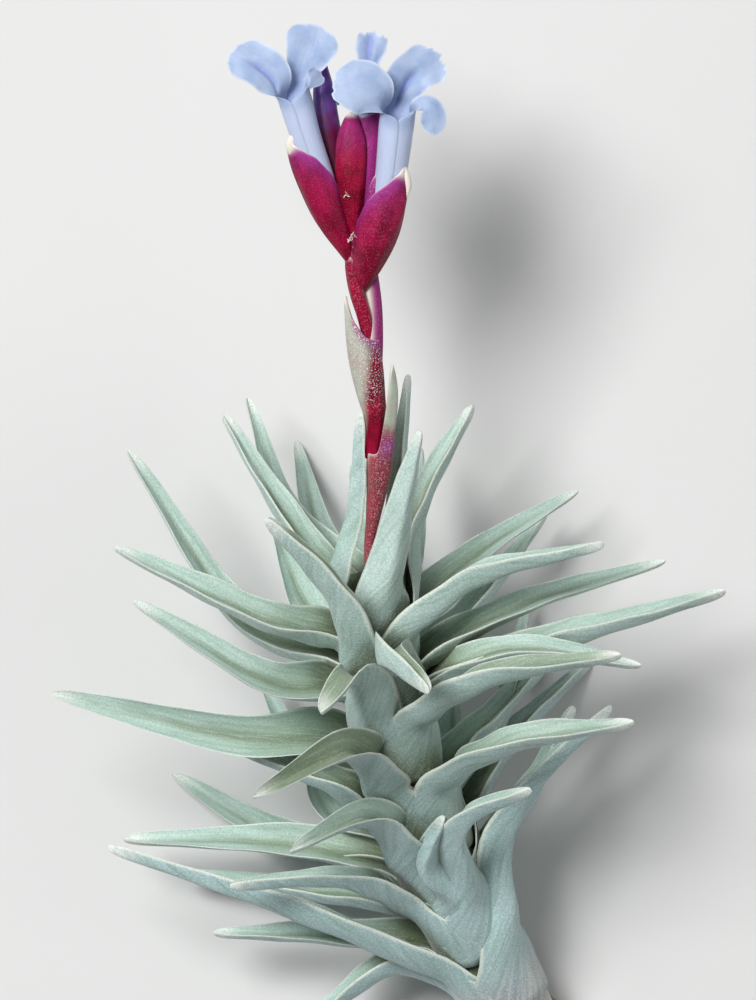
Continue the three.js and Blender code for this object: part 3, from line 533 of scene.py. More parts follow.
def add_leaf(root, mid, tip, width, turn=0, fold=0, lean=0, out=None):
    """One leaf: a sheath that clasps the stem, then a channelled blade that leaves it.

    It stands on the stem's side that faces out, or the tip where out isn't given."""
    start, stemward, radius = stem_at(root)
    mid = np.array(mid, float)
    tip = np.array(tip, float)
    outward = np.array(out, float) if out else tip - start
    outward = unit(outward - stemward * outward.dot(stemward))
    clasped = np.clip(0.55 * (mid - start).dot(stemward), least_clasp, most_clasp)
    clasped = min(clasped, max(least_clasp, -4.5 - root))
    clasp_spread = 0.1 + 0.18 * blend_over(root, -54, -42)
    clasp_angle = 2 - 0.6 * blend_over(root, -15, -9)
    end_radius = stem_at(root + clasped)[2]
    foot = start + outward * radius * 0.6
    sheath = start + stemward * clasped + outward * (
        end_radius + clasp_gap + clasp_spread * clasped)
    along = leaf_places
    centre, ahead, length = smooth_path([foot, sheath, mid, tip], along)
    across = np.cross(stemward, outward)
    side = unit(across - ahead * (ahead @ across)[:, None])
    face = np.cross(ahead, side)
    phase = leaf_draws.uniform(0, 6.28, 6)
    roll = (lean - np.sign(across[2]) * turn) * blend_over(along, 0.1, 0.55)
    roll = roll + 0.1 * np.sin(5 * along + phase[0]) * blend_over(along, 0.2, 0.6)
    side, face = (side * np.cos(roll)[:, None] + face * np.sin(roll)[:, None],
                  face * np.cos(roll)[:, None] - side * np.sin(roll)[:, None])
    clasp = 0.45 * np.maximum(0, 1 - along / 0.36)
    blunt = np.clip((along - blunt_from) / blunt_over, 0, 1)
    blunt = np.sqrt(np.maximum(0.0004, 1 - blunt ** 2.4))
    half = blunt * width * (1 + clasp - taper * along ** 1.7) / 2
    half *= 1 + 0.03 * np.sin(9 * along + phase[1]) + 0.015 * np.sin(23 * along + phase[2])
    folding = fold * blend_over(along, 0.1, 0.45)
    depth = 2 * half * (base_depth + (tip_depth - base_depth) * along) * (1 + 1.4 * folding)
    depth *= 0.6 + 0.4 * blend_over(along, 0.12, 0.5)
    half = half * (1 - 0.45 * folding)
    keel = blunt * (0.55 + 1.1 * (1 - along))
    bend = 2 * np.arctan2(depth, half)
    over = np.concatenate([edge_to_edge, edge_to_edge[-2:0:-1]])
    inner = np.concatenate([np.ones(len(edge_to_edge)), np.zeros(len(edge_to_edge) - 2)])
    up_stem = along * length
    wrapped = 1 - blend_over(up_stem, 0.5 * clasped, 1.6 * clasped)
    wrap_radius = radius + (end_radius - radius) * np.minimum(up_stem / clasped, 1.6)
    wrap_radius = wrap_radius + clasp_gap + clasp_spread * up_stem
    blade_angle = half / wrap_radius
    wrap_angle = blade_angle + (clasp_angle - blade_angle) * (
        1 - blend_over(up_stem, -0.2 * clasped, 1.3 * clasped))
    rings = np.zeros((len(along), len(over), 3))
    for row in range(len(along)):
        arc_radius = half[row] / math.sin(bend[row])
        sideways = half[row] * np.sin(bend[row] * over) / math.sin(bend[row])
        arc = arc_radius * (1 - np.cos(bend[row] * over))
        crease = depth[row] * np.abs(over) ** 1.15
        folded = min(1, 0.35 + 0.4 * blend_over(along[row], 0.1, 0.6) + 0.3 * folding[row])
        rise = arc * (1 - folded) + crease * folded
        sideways = sideways * (1 - folded) + half[row] * over * folded
        ripple = 0.1 * half[row] * over ** 2 * math.sin(14 * along[row] + phase[3])
        ripple = ripple + 0.05 * half[row] * np.sin(31 * along[row] + phase[4] + 2 * over)
        thick = keel[row] * (1 - np.abs(over) ** 2.2) + edge_thickness * np.sqrt(1 - over ** 2)
        rim = rim_height * blunt[row] * np.exp(-((np.abs(over) - rim_at) / rim_width) ** 2)
        height = rise + ripple * blend_over(along[row], 0.1, 0.4)
        height = height + np.where(inner > 0, rim, -thick)
        blade = centre[row] + sideways[:, None] * side[row] + height[:, None] * face[row]
        angle = over * wrap_angle[row]
        reach = wrap_radius[row] + np.where(inner > 0, 0, 0.5 * np.sqrt(1 - over ** 2))
        reach = reach + 0.12 * np.sin(3 * angle + 0.5 * up_stem[row] + phase[5])
        reach = reach + 0.35 * np.abs(over) ** 6 * blend_over(up_stem[row], 0, clasped)
        wrap = (start + stemward * up_stem[row] + (reach * np.cos(angle))[:, None] * outward
                + (reach * np.sin(angle))[:, None] * across)
        rings[row] = blade * (1 - wrapped[row]) + wrap * wrapped[row]
    old = blend_over(-root, 50, 58) * (1 if tip[0] < 0 else 0.75)
    dry = old * (1 - blend_over(up_stem, 0.2 * clasped, clasped))
    # Olive towards the sheath's base, less for the lowest leaves: partly the bare, scale-free
    # base and partly painted shade where the leaves below overlap it.
    bare = 1 - blend_over(up_stem, 0.2 * clasped, 0.85 * clasped)
    bare = bare * (1 - 0.8 * blend_over(-root, 40, 50))
    leaf_skin.add(rings, along=along[:, None], over=np.abs(over)[None, :], inner=inner[None, :],
                  tone=leaf_draws.uniform(0, 1), run=up_stem[:, None], dry=dry[:, None],
                  bare=bare[:, None], low=blend_over(-root, 22, 48),
                  olive=blend_over(tip[2], 36, 44),
                  girth=(over[None, :] + 3 * (1 - inner[None, :])) * half[:, None])


for leaf in (left_leaves + top_leaves + right_leaves + near_leaves + low_leaves + rest_leaves
             + far_leaves()):
    add_leaf(*leaf)

# The stem that the leaves grow on.
heights = np.linspace(-55, stem_top, 60)
around = np.linspace(0, 2 * math.pi, 28, endpoint=False)
core_rings = np.zeros((len(heights), len(around), 3))
for row, height in enumerate(heights):
    point, ahead, radius = stem_at(height)
    side = unit(np.cross(ahead, up))
    front = np.cross(side, ahead)
    lumps = 1 + 0.05 * np.sin(3 * around + height) + 0.04 * np.sin(5 * around - 1.7 * height)
    core_rings[row] = (point + radius * (lumps * np.cos(around))[:, None] * front
                       + radius * (lumps * np.sin(around))[:, None] * side)
# The core takes the sheath bases' olive in full: partly its own colour, partly painted shade
# between the leaves.
leaf_skin.add(core_rings, along=0.1, over=0.2, inner=1, tone=0.5, bare=1, olive=1,
              run=(heights + 55)[:, None], girth=around[None, :] * 4)


# The leaf's colours: silvery mint outside, olive deep in the channels and on the sheath bases
# (partly the leaf's own colour, partly painted shade), painted shade along the grooves and in the
# crevices where leaves join, pale edges and whitish blunt tips, all under a haze of fine scales.
mint_shade, mint, pale_mint = (0.37, 0.53, 0.48), (0.47, 0.62, 0.6), (0.54, 0.68, 0.63)
# The olive at the channels' base and on the bare sheath bases is partly the leaf's own colour and
# partly painted shade.
low_blue, bare_olive, deep_olive_and_shade = (0.37, 0.54, 0.57), (0.17, 0.22, 0.11), (0.06, 0.08, 0.02)
channel_green, channel_mint = (0.36, 0.48, 0.37), (0.47, 0.62, 0.56)
# The groove's dark olive and the crevices' near black are painted shade.
near_olive, painted_groove_shade, painted_crevice_shade = (0.17, 0.22, 0.1), (0.17, 0.22, 0.13), (0.1, 0.13, 0.045)
edge_white, tip_white, scale_white = (0.8, 0.85, 0.77), (0.84, 0.86, 0.82), (0.8, 0.88, 0.85)
streak_green, grain_green, line_white = (0.4, 0.52, 0.42), (0.25, 0.33, 0.26), (0.78, 0.84, 0.8)
dry_cream, dry_lilac, dry_brown = (0.62, 0.59, 0.53), (0.43, 0.41, 0.52), (0.25, 0.22, 0.27)
silver = Paint("silvery_leaf")
streaks = silver.streaks(0.12, 2.2, 40)
pale_lines = silver.streaks(0.3, 5, 60, detail=2)
cloud = silver.noise(120)
grain = silver.noise(4800)
silver.colour = silver.mix(silver.ramp(cloud, 0.35, 0.65), mint_shade, mint)
silver.lay(pale_mint, silver.times("tone", 0.5))
silver.lay(low_blue, silver.times("low", 0.6))
# Bare base colour and painted shade: darker olive towards each sheath's base and on the stem
# core.
silver.lay(bare_olive, silver.times("bare", 0.6))
outside = silver.colour
# Olive deep in the channel towards the leaf's base: partly the leaf's own colour, partly painted
# shade in the axils.
from_base = silver.sum("MULTIPLY_ADD", "over", 0.3, "along")
silver.colour = silver.mix(silver.ramp(from_base, 0.2, 0.48), deep_olive_and_shade, channel_green)
silver.lay(channel_mint, from_base, 0.42, 0.85)
silver.lay(near_olive, silver.times("olive", 0.75))
# Painted shade: a dark olive line along the bottom of each channel's groove, fading towards the
# tip.
silver.lay(painted_groove_shade, silver.times(silver.ramp("over", 0.02, 0.4, 0.7, 0),
                                      silver.ramp("along", 0.6, 0.97, 1, 0.2)))
silver.colour = silver.mix("inner", outside, silver.colour)
# Painted shade: near-black olive laid wherever nearby leaves hem the surface in, in the crevices
# where leaves join.
occlusion_shade = silver.tree.nodes.new("ShaderNodeAmbientOcclusion")
occlusion_shade.samples = 8
occlusion_shade.only_local = True
occlusion_shade.inputs["Distance"].default_value = 0.005
silver.lay(painted_crevice_shade, occlusion_shade.outputs["AO"], 0.2, 0.75, 0.85, 0)
silver.lay(edge_white, silver.times(silver.ramp("over", 0.88, 0.98, 0, 0.9),
                                    silver.ramp("along", 0.03, 0.2, 0.5, 1)))
silver.lay(tip_white, "along", 0.88, 0.99, 0, 0.8)
silver.lay(streak_green, streaks, 0.4, 0.7, 0, 0.4, way="MULTIPLY")
silver.lay(line_white, pale_lines, 0.5, 0.75, 0, 0.22)
withered = silver.mix(silver.ramp(streaks, 0.35, 0.65), dry_cream, dry_lilac)
withered = silver.mix(silver.ramp(pale_lines, 0.5, 0.68, 0, 0.7), withered, dry_brown)
silver.lay(withered, silver.times("dry", 0.95))
silver.lay(scale_white, silver.times(silver.ramp(grain, 0.5, 0.7, 0, 0.34),
                                     silver.ramp("inner", 0, 1, 1, 0.5)))
silver.lay(grain_green, grain, 0.36, 0.5, 0.35, 0)
silver.shader.inputs["Sheen Weight"].default_value = 0.25
silver.shader.inputs["Sheen Roughness"].default_value = 0.4
relief = silver.sum("ADD", silver.times(streaks, 0.7), grain)
silver.finish(rough=0.55, shine=0.35, relief=relief, strength=0.35, height=0.0002)
leaf_skin.make("leafy_stem_skin", silver.material, "leafy_stem")


# Flower stalk: a slender purple stalk wrapped in three clasping bracts, all grown in one.
# The lower two have a crimson sheath and a grey green, leaf-like tip under white scales,
# and the third is crimson with a cream edge. The bracts' colours are rules in t, up the
# bract, f, round it from its tip, and d, the distance from its rim.
stalk_skin = Skin()
stalk_line = [(-1.2, -9.5, 27.9), (-1.9, -4, 29.6), (-2.3, 0, 30.5), (-1.8, 6.3, 31.8),
              (-1.4, 11.9, 33), (-1.8, 18.8, 34.5), (-1.8, 26.5, 36.2), (-2, 31.3, 37.3),
              (-2.7, 36, 38.2)]
add_rod(stalk_skin, stalk_line, [0.5, 0.5, 0.7, 0.95, 1.15, 1.3], rows=70, sides=28,
        shape=lambda share, angle: 0.05 * np.sin(3 * angle + 20 * share), purple=0.7, specks=0.1,
        pale=lambda t, a: 0.9 * np.exp(-((np.sin((a + 0.5) / 2)) / 0.3) ** 2) * blend_over(
            t, 0.7, 0.8),
        green=lambda t, a: 1 - blend_over(t, 0.12, 0.24))
add_sheath(stalk_skin, [(-2.4, -2.5, 29.9), (-2.35, 0.6, 30.6), (-1.85, 4.2, 31.5),
                        (-1.35, 8.2, 32.4), (-0.9, 13.7, 33.6), (-0.5, 18.7, 34.8),
                        (-0.3, 23.7, 36)],
           [0.5, 0.7, 1.15, 1.6, 1.7, 1.7, 1.2], tip_at=0.9,
           mouth=[(0, 1), (0.08, 0.97), (0.16, 0.9), (0.22, 0.8), (0.26, 0.64), (0.32, 0.57),
                  (0.45, 0.56), (0.7, 0.56), (1, 0.56)],
           green=lambda t, f, d: np.maximum(blend_over(t + 0.1 * (1 - f), 0.72, 0.84),
                                            0.07 + 0.12 * blend_over(f, 0.3, 0.8)),
           purple=lambda t, f, d: 0.85 * np.exp(-((t - 0.6) / 0.05) ** 2) * (
               1 - blend_over(f, 0.2, 0.4)),
           pale=lambda t, f, d: np.maximum(0.6 * np.exp(-d / 0.3) + 0.5 * blend_over(t, 0.93, 1),
                                           0.9 * blend_over(f, 0.45, 0.65) * np.exp(-d / 1.2)),
           specks=lambda t, f, d: 0.16 + 0.3 * blend_over(1 - f, 0.4, 0.8))
add_sheath(stalk_skin, [(-1.9, 11.5, 33), (-1.6, 16.4, 34.1), (-2.2, 19.8, 34.9),
                        (-2.9, 24.1, 35.9), (-3.4, 28.2, 36.8), (-4.5, 32.2, 37.8)],
           [0.95, 1.3, 1.8, 2.1, 2, 1.1], tip_at=-1.4,
           mouth=[(0, 1), (0.05, 0.985), (0.12, 0.95), (0.25, 0.87), (0.38, 0.8), (0.5, 0.74),
                  (0.7, 0.71), (1, 0.7)],
           thick=0.45,
           green=lambda t, f, d: np.maximum(blend_over(t, 0.7, 0.9),
                                            0.8 * blend_over(t - 0.9 * f, 0.0, 0.25)) * (
               1 - 0.85 * np.exp(-(d / 1.6) ** 2) * blend_over(f, 0.16, 0.34)),
           purple=lambda t, f, d: 0.85 * np.exp(-(d / 1.6) ** 2) * blend_over(f, 0.12, 0.3),
           pale=lambda t, f, d: 0.8 * blend_over(t, 0.9, 1) + 0.35 * np.exp(-d / 0.2),
           specks=lambda t, f, d: blend_over(t, 0.2, 0.5) * (1 - 0.5 * blend_over(t, 0.8, 1)))
add_sheath(stalk_skin, [(-2.4, 25.8, 36.5), (-2.8, 29.2, 37.4), (-3.5, 32.6, 38.1),
                        (-3.9, 35.4, 38.7), (-4.4, 38.2, 39.3)],
           [0.55, 1.05, 1.4, 1.5, 1], tip_at=-1.1,
           mouth=[(0, 1), (0.15, 0.95), (0.3, 0.82), (0.42, 0.6), (0.52, 0.36), (0.7, 0.16),
                  (1, 0.1)],
           rows=50, purple=lambda t, f, d: 0.3 * np.exp(-d / 0.8),
           pale=lambda t, f, d: np.maximum(0.75 * np.exp(-d / 0.28), 0.95 * blend_over(
               t, 0.82, 0.94) * (1 - blend_over(f, 0.3, 0.5))),
           specks=0.15)


def paint_crimson(name, crimson, bright, rough):
    """Crimson under a haze of fine scales, with purple, grey green and cream where marked."""
    dark_line, purple, haze = (0.14, 0.002, 0.02), (0.33, 0.03, 0.24), (0.45, 0.02, 0.14)
    grey_green, scale, cream = (0.5, 0.57, 0.46), (0.74, 0.7, 0.72), (0.8, 0.74, 0.66)
    paint = Paint(name)
    lines = paint.streaks(0.25, 2.2)
    patches = paint.noise(420)
    grain = paint.noise(5600, 1)
    paint.colour = paint.mix(paint.ramp(patches, 0.35, 0.65), crimson, bright)
    paint.lay(purple, paint.times("purple", paint.ramp(patches, 0.1, 0.8, 0.8, 1.15)))
    paint.lay(dark_line, lines, 0.45, 0.75, 0, 0.3)
    paint.lay(grey_green, paint.times("green", paint.ramp(patches, 0.2, 0.7, 1.2, 0.85)))
    paint.lay(scale, paint.times(paint.ramp(grain, 0.54, 0.68), "specks"))
    paint.lay(haze, grain, 0.5, 0.75, 0, 0.12)
    paint.lay(cream, "pale", 0, 1)
    relief = paint.sum("ADD", paint.times(lines, 0.5), grain)
    paint.finish(rough, shine=0.12, relief=relief, strength=0.35, height=0.00015)
    return paint.material


stalk_crimson = paint_crimson("crimson_bract", (0.19, 0.002, 0.016), (0.32, 0.003, 0.034), 0.5)
stalk_skin.make("flower_stalk_skin", stalk_crimson, "flower_stalk")


# Flower bracts: four cupped, satin crimson bracts and a small purple one between them, all
# grown from the short axis of the head. Each of the four wraps one flower and has a lilac
# margin, a cream tip and a few white scales.
bract_skin = Skin()
add_rod(bract_skin, [(-3, 35, 38.4), (-3.9, 38.4, 38.8), (-4.4, 42.4, 39.4)], [1.6, 2, 1.3],
        rows=24, sides=28, purple=0.2, specks=0.2)


def margin(t, f, d):
    """How purple a bract is near its rim."""
    return 0.95 * np.exp(-(d / 1.9) ** 1.6) + 0.3 * np.exp(-d / 5)


def cream_tip(t, f, d):
    """How pale a bract is at its tip and along its rim."""
    return np.clip(1.2 * blend_over(t, 0.86, 0.98) * (1 - blend_over(f, 0.15, 0.5))
                   + 0.75 * np.exp(-d / 0.22), 0, 1)


add_sheath(bract_skin, [(-4.6, 36.4, 39.2), (-5.4, 38.2, 39.8), (-6.9, 41.2, 40.8),
                        (-8.5, 45, 41.8), (-10, 48.6, 42.6), (-11.2, 51.6, 43.2)],
           [0.8, 1.6, 2.2, 2.4, 2.3, 1.75], tip_at=-1.5,
           mouth=[(0, 1), (0.25, 0.98), (0.45, 0.9), (0.62, 0.83), (0.78, 0.68), (0.9, 0.5),
                  (1, 0.42)],
           flat=0.92, sides=90, purple=margin, pale=cream_tip, specks=0.04)
add_sheath(bract_skin, [(-3.4, 32.6, 38.7), (-2.8, 34.6, 39.5), (-1.8, 38.4, 40.9),
                        (-0.9, 41.6, 41.9), (0.1, 45, 42.9), (0.9, 48.2, 43.5)],
           [0.7, 1.9, 2.6, 2.75, 2.4, 1.6], tip_at=1.4,
           mouth=[(0, 1), (0.2, 0.98), (0.4, 0.9), (0.6, 0.8), (0.75, 0.68), (0.88, 0.55),
                  (1, 0.48)],
           flat=0.92, sides=90, purple=margin, pale=cream_tip, specks=0.07)
add_sheath(bract_skin, [(-4.4, 39.6, 40), (-4.6, 44.6, 41.3), (-4.6, 49, 42), (-4.6, 54.6, 42.6)],
           [0.9, 1.6, 1.95, 2, 1.7, 0.5], tip_at=0.1,
           mouth=[(0, 1), (0.2, 0.99), (0.5, 0.96), (0.8, 0.9), (1, 0.87)],
           flat=0.92, specks=0.04,
           purple=lambda t, f, d: 0.45 * blend_over(t, 0.55, 0.9) + 0.3 * blend_over(f, 0.4, 0.6),
           pale=lambda t, f, d: 0.9 * blend_over(t, 0.93, 0.99))
add_sheath(bract_skin, [(-3.9, 39, 38.6), (-2.9, 43.6, 39.6), (-2.4, 48.6, 40.4),
                        (-2.2, 55.4, 41.2)],
           [1.2, 1.9, 2.1, 2.1, 1.9, 1.5], tip_at=2.4,
           mouth=[(0, 1), (0.3, 0.99), (0.6, 0.96), (0.8, 0.93), (1, 0.91)],
           thick=0.35, flat=0.9,
           purple=0.75, pale=lambda t, f, d: 0.4 * np.exp(-d / 0.2), specks=0.06)
add_sheath(bract_skin, [(-2.9, 40.5, 41), (-2, 43.5, 42), (-1.3, 47.4, 42.8)],
           [0.4, 0.75, 0.6], tip_at=0.6,
           mouth=[(0, 1), (0.3, 0.9), (0.6, 0.7), (1, 0.5)], thick=0.25, rows=30, sides=40,
           purple=0.9, pale=lambda t, f, d: 0.9 * np.exp(-d / 0.3), specks=0.2)

# The cream keels at the tips of the two outer bracts, and white scales in three small
# tufts where the bracts overlap.
add_rod(bract_skin, [(-11.4, 48.6, 43.2), (-12, 49.6, 43.6), (-12.1, 50.8, 43.9),
                     (-11.6, 51.8, 43.8)],
        [0.2, 0.42, 0.6, 0.52, 0.2], rows=20, sides=20, pale=1)
add_rod(bract_skin, [(2, 43.4, 43.2), (2.45, 45, 43.6), (2.25, 46.6, 43.9), (1.8, 48, 43.9)],
        [0.12, 0.36, 0.5, 0.45, 0.2], rows=20, sides=20, pale=1)
tuft_draws = np.random.default_rng(21)
for tuft in ((-5.2, 44.3, 43), (-5, 38.6, 41.6), (-4.3, 39.2, 42)):
    for _ in range(7):
        root = np.array(tuft) + tuft_draws.uniform(-0.35, 0.35, 3)
        lean = tuft_draws.uniform(-0.4, 0.4, 3) + (0, 0.15, 0.25)
        bent = tuft_draws.uniform(-0.12, 0.12, 3)
        add_rod(bract_skin, [root, root + 0.5 * lean + bent, root + lean],
                [0.06, 0.06, 0.04, 0.015], flat=0.5, rows=6, sides=8, pale=1)
satin_crimson = paint_crimson("satin_bract", (0.19, 0.001, 0.015), (0.34, 0.002, 0.036), 0.45)
bract_skin.make("flower_bracts_skin", satin_crimson, "flower_bracts")


# Bud: a closed flower behind the bracts, its petals still rolled round each other. It is
# violet above and dark crimson where its bract wraps it.
bud_skin = Skin()
add_rod(bud_skin, [(-5.4, 42, 38.8), (-7, 49, 39.2), (-7.8, 54.6, 39.6), (-8.2, 60.6, 39.8)],
        [0.9, 1.4, 1.65, 1.65, 1.5, 1.3, 0.6], rows=70, sides=40,
        shape=lambda share, angle: 0.09 * np.abs(np.sin(1.5 * angle + 4 * share)) - 0.05)
dark_crimson, violet, plum = (0.13, 0.003, 0.035), (0.1, 0.04, 0.26), (0.2, 0.04, 0.2)
bud = Paint("rolled_bud")
bud_lines = bud.streaks(0.3, 1.6)
bud_grain = bud.noise(900, 3)
bud_height = bud.sum("ADD", "along", bud.ramp(bud_grain, 0.2, 0.8, -0.08, 0.08))
bud.colour = bud.mix(bud.ramp(bud_height, 0.5, 0.8), dark_crimson, violet)
bud.lay(plum, bud_lines, 0.4, 0.7, 0, 0.4)
bud.finish(rough=0.42, shine=0.5, relief=bud_lines, strength=0.3, height=0.00015)
bud_skin.make("flower_bud_skin", bud.material, "flower_bud")


# Flowers: three open flowers, each a thin tube that widens to its mouth, where the petals
# spread. The petals are as thin as wet paper, ruffled and toothed, and pale lavender.
def add_petal(skin, tube, turn, spine, left, right, facing, cup=0.1, ruffle=0.3, teeth=0.05,
              crease=None, seed=0, thick=0.2, corner=0.72):
    """A petal that forms a third of the tube, round the angle turn, and then spreads.

    left and right are its blade's half widths, spread evenly along it. Its rounded end
    starts at the share called corner of the blade's length."""
    path, radii = tube
    columns, tube_rows, blade_rows = 41, 24, 46
    overlap, least_thick, joins_over = 0.12, 0.06, 3.4
    walls = np.linspace(0, 1, 4)
    middle, _, right_side, front, tube_length = frame_along(path, walls)
    reach = smooth_values(radii, walls)[:, None]
    wall = middle + reach * (math.cos(turn) * front + math.sin(turn) * right_side)
    spine = np.vstack([wall, spine])
    length = smooth_path(spine, [0, 1])[2]
    over = np.sin(np.linspace(-1, 1, columns) * math.pi / 2)
    end = corner + (0.97 - corner) * np.sqrt(np.maximum(0, 1 - np.abs(over) ** 2.4))
    end = end + teeth * (np.sin(7 * over + seed) + 0.8 * np.sin(13 * over + 2 * seed)
                         + 0.6 * np.sin(24 * over + 3 * seed)) * 0.5
    blade_share = np.sin(np.linspace(0, 1, blade_rows) * math.pi / 2)
    blade_share = blade_share[:, None] * end[None, :]
    tube_share = np.linspace(0, 1, tube_rows, endpoint=False)[:, None] - 1
    tube_share = np.repeat(tube_share, columns, axis=1)
    risen = np.concatenate([tube_share * tube_length, blade_share * (length - tube_length)])
    place = np.clip(np.concatenate([tube_share * 0, blade_share]), 0, 1)
    whole = np.clip((risen + tube_length) / length, 0, 1)
    centre, ahead, _ = smooth_path(spine, whole.ravel())
    side = unit(np.cross(np.array(facing, float), ahead))
    face = np.cross(ahead, side)
    shape = (*risen.shape, 3)
    centre, side, face = (part.reshape(shape) for part in (centre, side, face))
    widths = np.where(over < 0, smooth_values(left, place), smooth_values(right, place))
    widths = widths * (1 + 0.6 * teeth * (np.sin(17 * place + seed)
                                          + np.sin(33 * place + 2 * seed)))
    height = cup * widths * over ** 2
    swing = blend_over(place, 0.1, 0.6) * ruffle
    height = height + swing * np.abs(over) ** 1.6 * (
        np.sin(8 * place + 3 * over + seed) + 0.5 * np.sin(17 * place - 4 * over + 2 * seed))
    height = height + 0.35 * swing * np.sin(5 * over + 6 * place + 3 * seed)
    fold = np.zeros(place.shape)
    if crease:
        line, wide, low, high, deep = crease
        fold = np.exp(-((over - line) / wide) ** 2) * (
            blend_over(place, low - 0.15, low) * (1 - blend_over(place, high, high + 0.25)))
        height = height - deep * fold
    top = centre + (widths * over)[:, :, None] * side + height[:, :, None] * face

    angle = turn + over * (math.pi / 3 + overlap)
    tube_place = np.clip(risen / tube_length + 1, 0, 1)
    middle, tube_ahead, right_side, front, _ = frame_along(path, tube_place.ravel())
    middle, tube_ahead, right_side, front = (
        part.reshape(shape) for part in (middle, tube_ahead, right_side, front))
    outward = (np.cos(angle)[None, :, None] * front + np.sin(angle)[None, :, None] * right_side)
    beyond = np.maximum(risen, 0)
    reach = smooth_values(radii, tube_place) + 0.04 * over + 0.12 * beyond ** 1.5
    ring = middle + reach[:, :, None] * outward + beyond[:, :, None] * tube_ahead
    joined = 1 - blend_over(risen, 0, joins_over)
    top = top * (1 - joined)[:, :, None] + ring * joined[:, :, None]
    for _ in range(8):
        top[1:-1] = 0.25 * top[:-2] + 0.5 * top[1:-1] + 0.25 * top[2:]
    blade = least_thick + (thick - least_thick) * (1 - 0.4 * place) * np.sqrt(
        1 - np.abs(over) ** (2 + 12 * joined))
    normal = unit(face * (1 - joined)[:, :, None] - outward * joined[:, :, None])
    under = top - blade[:, :, None] * normal
    rings = np.concatenate([top, under[:, -2:0:-1]], axis=1)
    to_edge = (1 - np.abs(over)) * widths
    to_end = np.concatenate([tube_share * 0 + 9, (end - blade_share) * (length - tube_length)])
    edging = np.exp(-np.minimum(to_edge, to_end) / 0.25) * blend_over(place, 0.05, 0.3)

    def both(value):
        value = np.broadcast_to(value, place.shape)
        return np.concatenate([value, value[:, -2:0:-1]], axis=1)

    # Painted shade inside the tube, on its inner face, fading where the petal spreads.
    throat = np.concatenate([0.8 * joined * (1 - over ** 6), 0 * joined[:, -2:0:-1]], axis=1)
    skin.add(rings, edging=both(edging), fold=both(fold), run=both(risen),
             girth=both(widths * over), throat=throat)


lavender_shade, lavender, tube_white = (0.31, 0.41, 0.62), (0.41, 0.5, 0.7), (0.54, 0.61, 0.84)
# The fold and throat colours are painted shade; the veins are the petal's own.
vein_blue, painted_crease_shade, painted_throat_shade = (0.3, 0.37, 0.62), (0.25, 0.3, 0.6), (0.4, 0.46, 0.7)
edge_lilac = (0.7, 0.75, 0.9)
petal = Paint("lavender_petal")
petal_lines = petal.streaks(0.2, 1.6)
petal_clouds = petal.noise(420, 4)
petal_grain = petal.noise(3600, 1)
petal.colour = petal.mix(petal.ramp(petal_clouds, 0.3, 0.7), lavender_shade, lavender)
petal.lay(tube_white, "run", -2, 1.5, 0.9, 0)
petal.lay(vein_blue, petal_lines, 0.5, 0.75, 0, 0.25)
# Painted shade along each petal's crease, deepest where it folds most.
petal.lay(painted_crease_shade, "fold", 0.1, 1, 0, 0.8)
# Painted shade: the inside of the tube darkened blue.
petal.lay(painted_throat_shade, "throat", 0, 1, 0, 0.6)
petal.lay(edge_lilac, "edging", 0.1, 0.9, 0, 0.6)
petal.shader.inputs["Subsurface Weight"].default_value = 0.3
petal.shader.inputs["Subsurface Radius"].default_value = (0.8, 0.8, 1.0)
petal.shader.inputs["Subsurface Scale"].default_value = 0.0008
petal_relief = petal.sum("ADD", petal_lines, petal.times(petal_grain, 0.5))
petal.finish(rough=0.5, shine=0.35, relief=petal_relief, strength=0.25, height=0.0002)

left_skin = Skin()
left_tube = ([(-6.9, 42.6, 40.8), (-9.1, 48.2, 42.4), (-10.3, 51.6, 43.2), (-11.5, 55.8, 44)],
             [1, 1.45, 1.6, 1.7, 1.9])
add_petal(left_skin, left_tube, -1.3, [(-14.6, 58.3, 45.6), (-17, 60.2, 45.8), (-20, 61.7, 45.2)],
          [2, 2.7, 3.3, 3.2, 2.4], [2, 2, 2.2, 2.4, 2.1], (0.1, 0.3, 1),
          crease=(-0.15, 0.13, 0.3, 0.55, 0.6), ruffle=0.2, teeth=0.015, seed=1)
add_petal(left_skin, left_tube, 2.9, [(-10.8, 59.4, 42.6), (-10, 61.7, 42.9), (-8.7, 65.6, 42.4)],
          [1.8, 1.5, 2.7, 3.4, 3.2], [1.8, 1.5, 2.6, 3.4, 3.1], (0, -0.2, 1),
          ruffle=0.18, teeth=0.012, seed=2.2)
add_petal(left_skin, left_tube, 0.8, [(-9.7, 57.6, 45.4), (-9, 58.9, 45), (-8.6, 59.8, 44.4)],
          [1.8, 1.6, 1.4, 1.4, 1.2], [1.8, 1.3, 1.2, 1.2, 1.1], (0.5, 0, 0.85),
          ruffle=0.12, teeth=0.03, seed=3.1)
left_skin.make("flower_left_skin", petal.material, "flower_left")

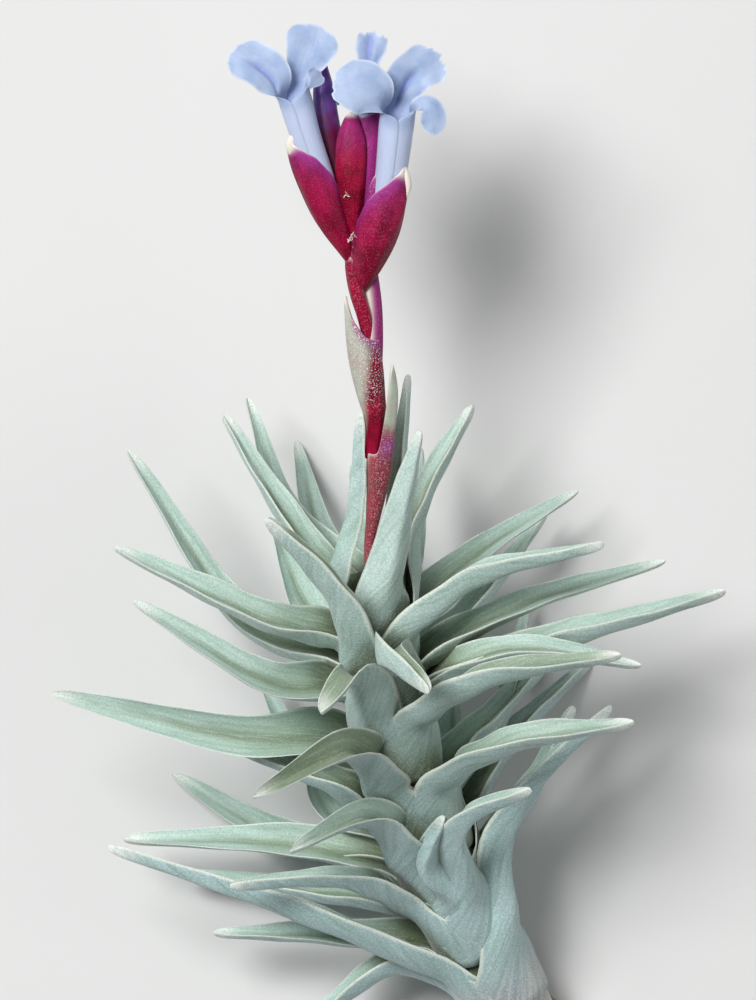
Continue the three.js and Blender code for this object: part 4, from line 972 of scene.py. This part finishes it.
right_skin = Skin()
right_tube = ([(-1.6, 39.6, 40.4), (0, 44.6, 41.9), (0.5, 48, 43), (1.1, 53.6, 44.6)],
              [1.15, 1.65, 1.75, 1.9, 2.05])
add_petal(right_skin, right_tube, -0.96, [(-1.6, 56.1, 47.3), (-3.6, 57.3, 47.8),
                                          (-7.2, 57.5, 47.3)],
          [2, 2.8, 3.6, 3.5, 3.1], [2, 2.6, 3.2, 3.1, 2.8], (-0.05, 0.2, 1),
          ruffle=0.12, teeth=0.025, seed=4.4, corner=0.6)
add_petal(right_skin, right_tube, 3.2, [(2.3, 57.3, 44.1), (3.9, 59.4, 44.9), (6.7, 61.7, 44.5)],
          [2, 1.6, 2, 2.7, 2.4], [2, 2.4, 3.4, 3, 2.3], (0.15, 0.05, 1),
          crease=(0.1, 0.16, 0.15, 0.45, 0.8), ruffle=0.3, teeth=0.04, seed=0.6, corner=0.78)
add_petal(right_skin, right_tube, 1.13, [(4, 55.5, 46.4), (5.3, 55.2, 46.9), (5.7, 53.3, 46.8),
                                         (5.3, 51.3, 46.3)],
          [1.9, 1.1, 1.5, 1.7, 1.5], [1.9, 1.1, 1.5, 1.7, 1.4], (0.2, 0.3, 1),
          cup=-0.2, ruffle=0.1, teeth=0.015, seed=5.2)
right_skin.make("flower_right_skin", petal.material, "flower_right")

back_skin = Skin()
back_tube = ([(-3.6, 42, 38.2), (-3, 48, 39.2), (-2.7, 52, 39.7), (-2.4, 56, 40.1)],
             [1, 1.4, 1.6, 1.7, 1.8])
add_petal(back_skin, back_tube, math.pi, [(-2.4, 59.5, 39.5), (-2.3, 61.5, 40.4),
                                          (-1.9, 64.8, 40.8)],
          [1.7, 1.2, 1.3, 2, 2], [1.7, 1.2, 1.3, 1.9, 1.8], (0, -0.2, 1),
          crease=(0.1, 0.3, 0.5, 0.8, 0.2), ruffle=0.2, teeth=0.035, seed=1.7, corner=0.85)
add_petal(back_skin, back_tube, -1.05, [(-5.2, 57.4, 40.6), (-5.7, 57, 38.6), (-5.3, 56, 35.6)],
          [1.8, 2, 2.1, 2, 1.9], [1.8, 2, 2.1, 2, 1.9], (-0.4, 0.9, 0.3),
          ruffle=0.2, teeth=0.03, seed=2.9)
add_petal(back_skin, back_tube, 1.05, [(0.3, 57.4, 40.6), (0.9, 57, 38.6), (0.7, 56, 35.6)],
          [1.8, 2, 2.2, 2.1, 2], [1.8, 2, 2.2, 2.1, 2], (0.4, 0.9, 0.3),
          ruffle=0.2, teeth=0.03, seed=3.6)
back_skin.make("flower_back_skin", petal.material, "flower_back")
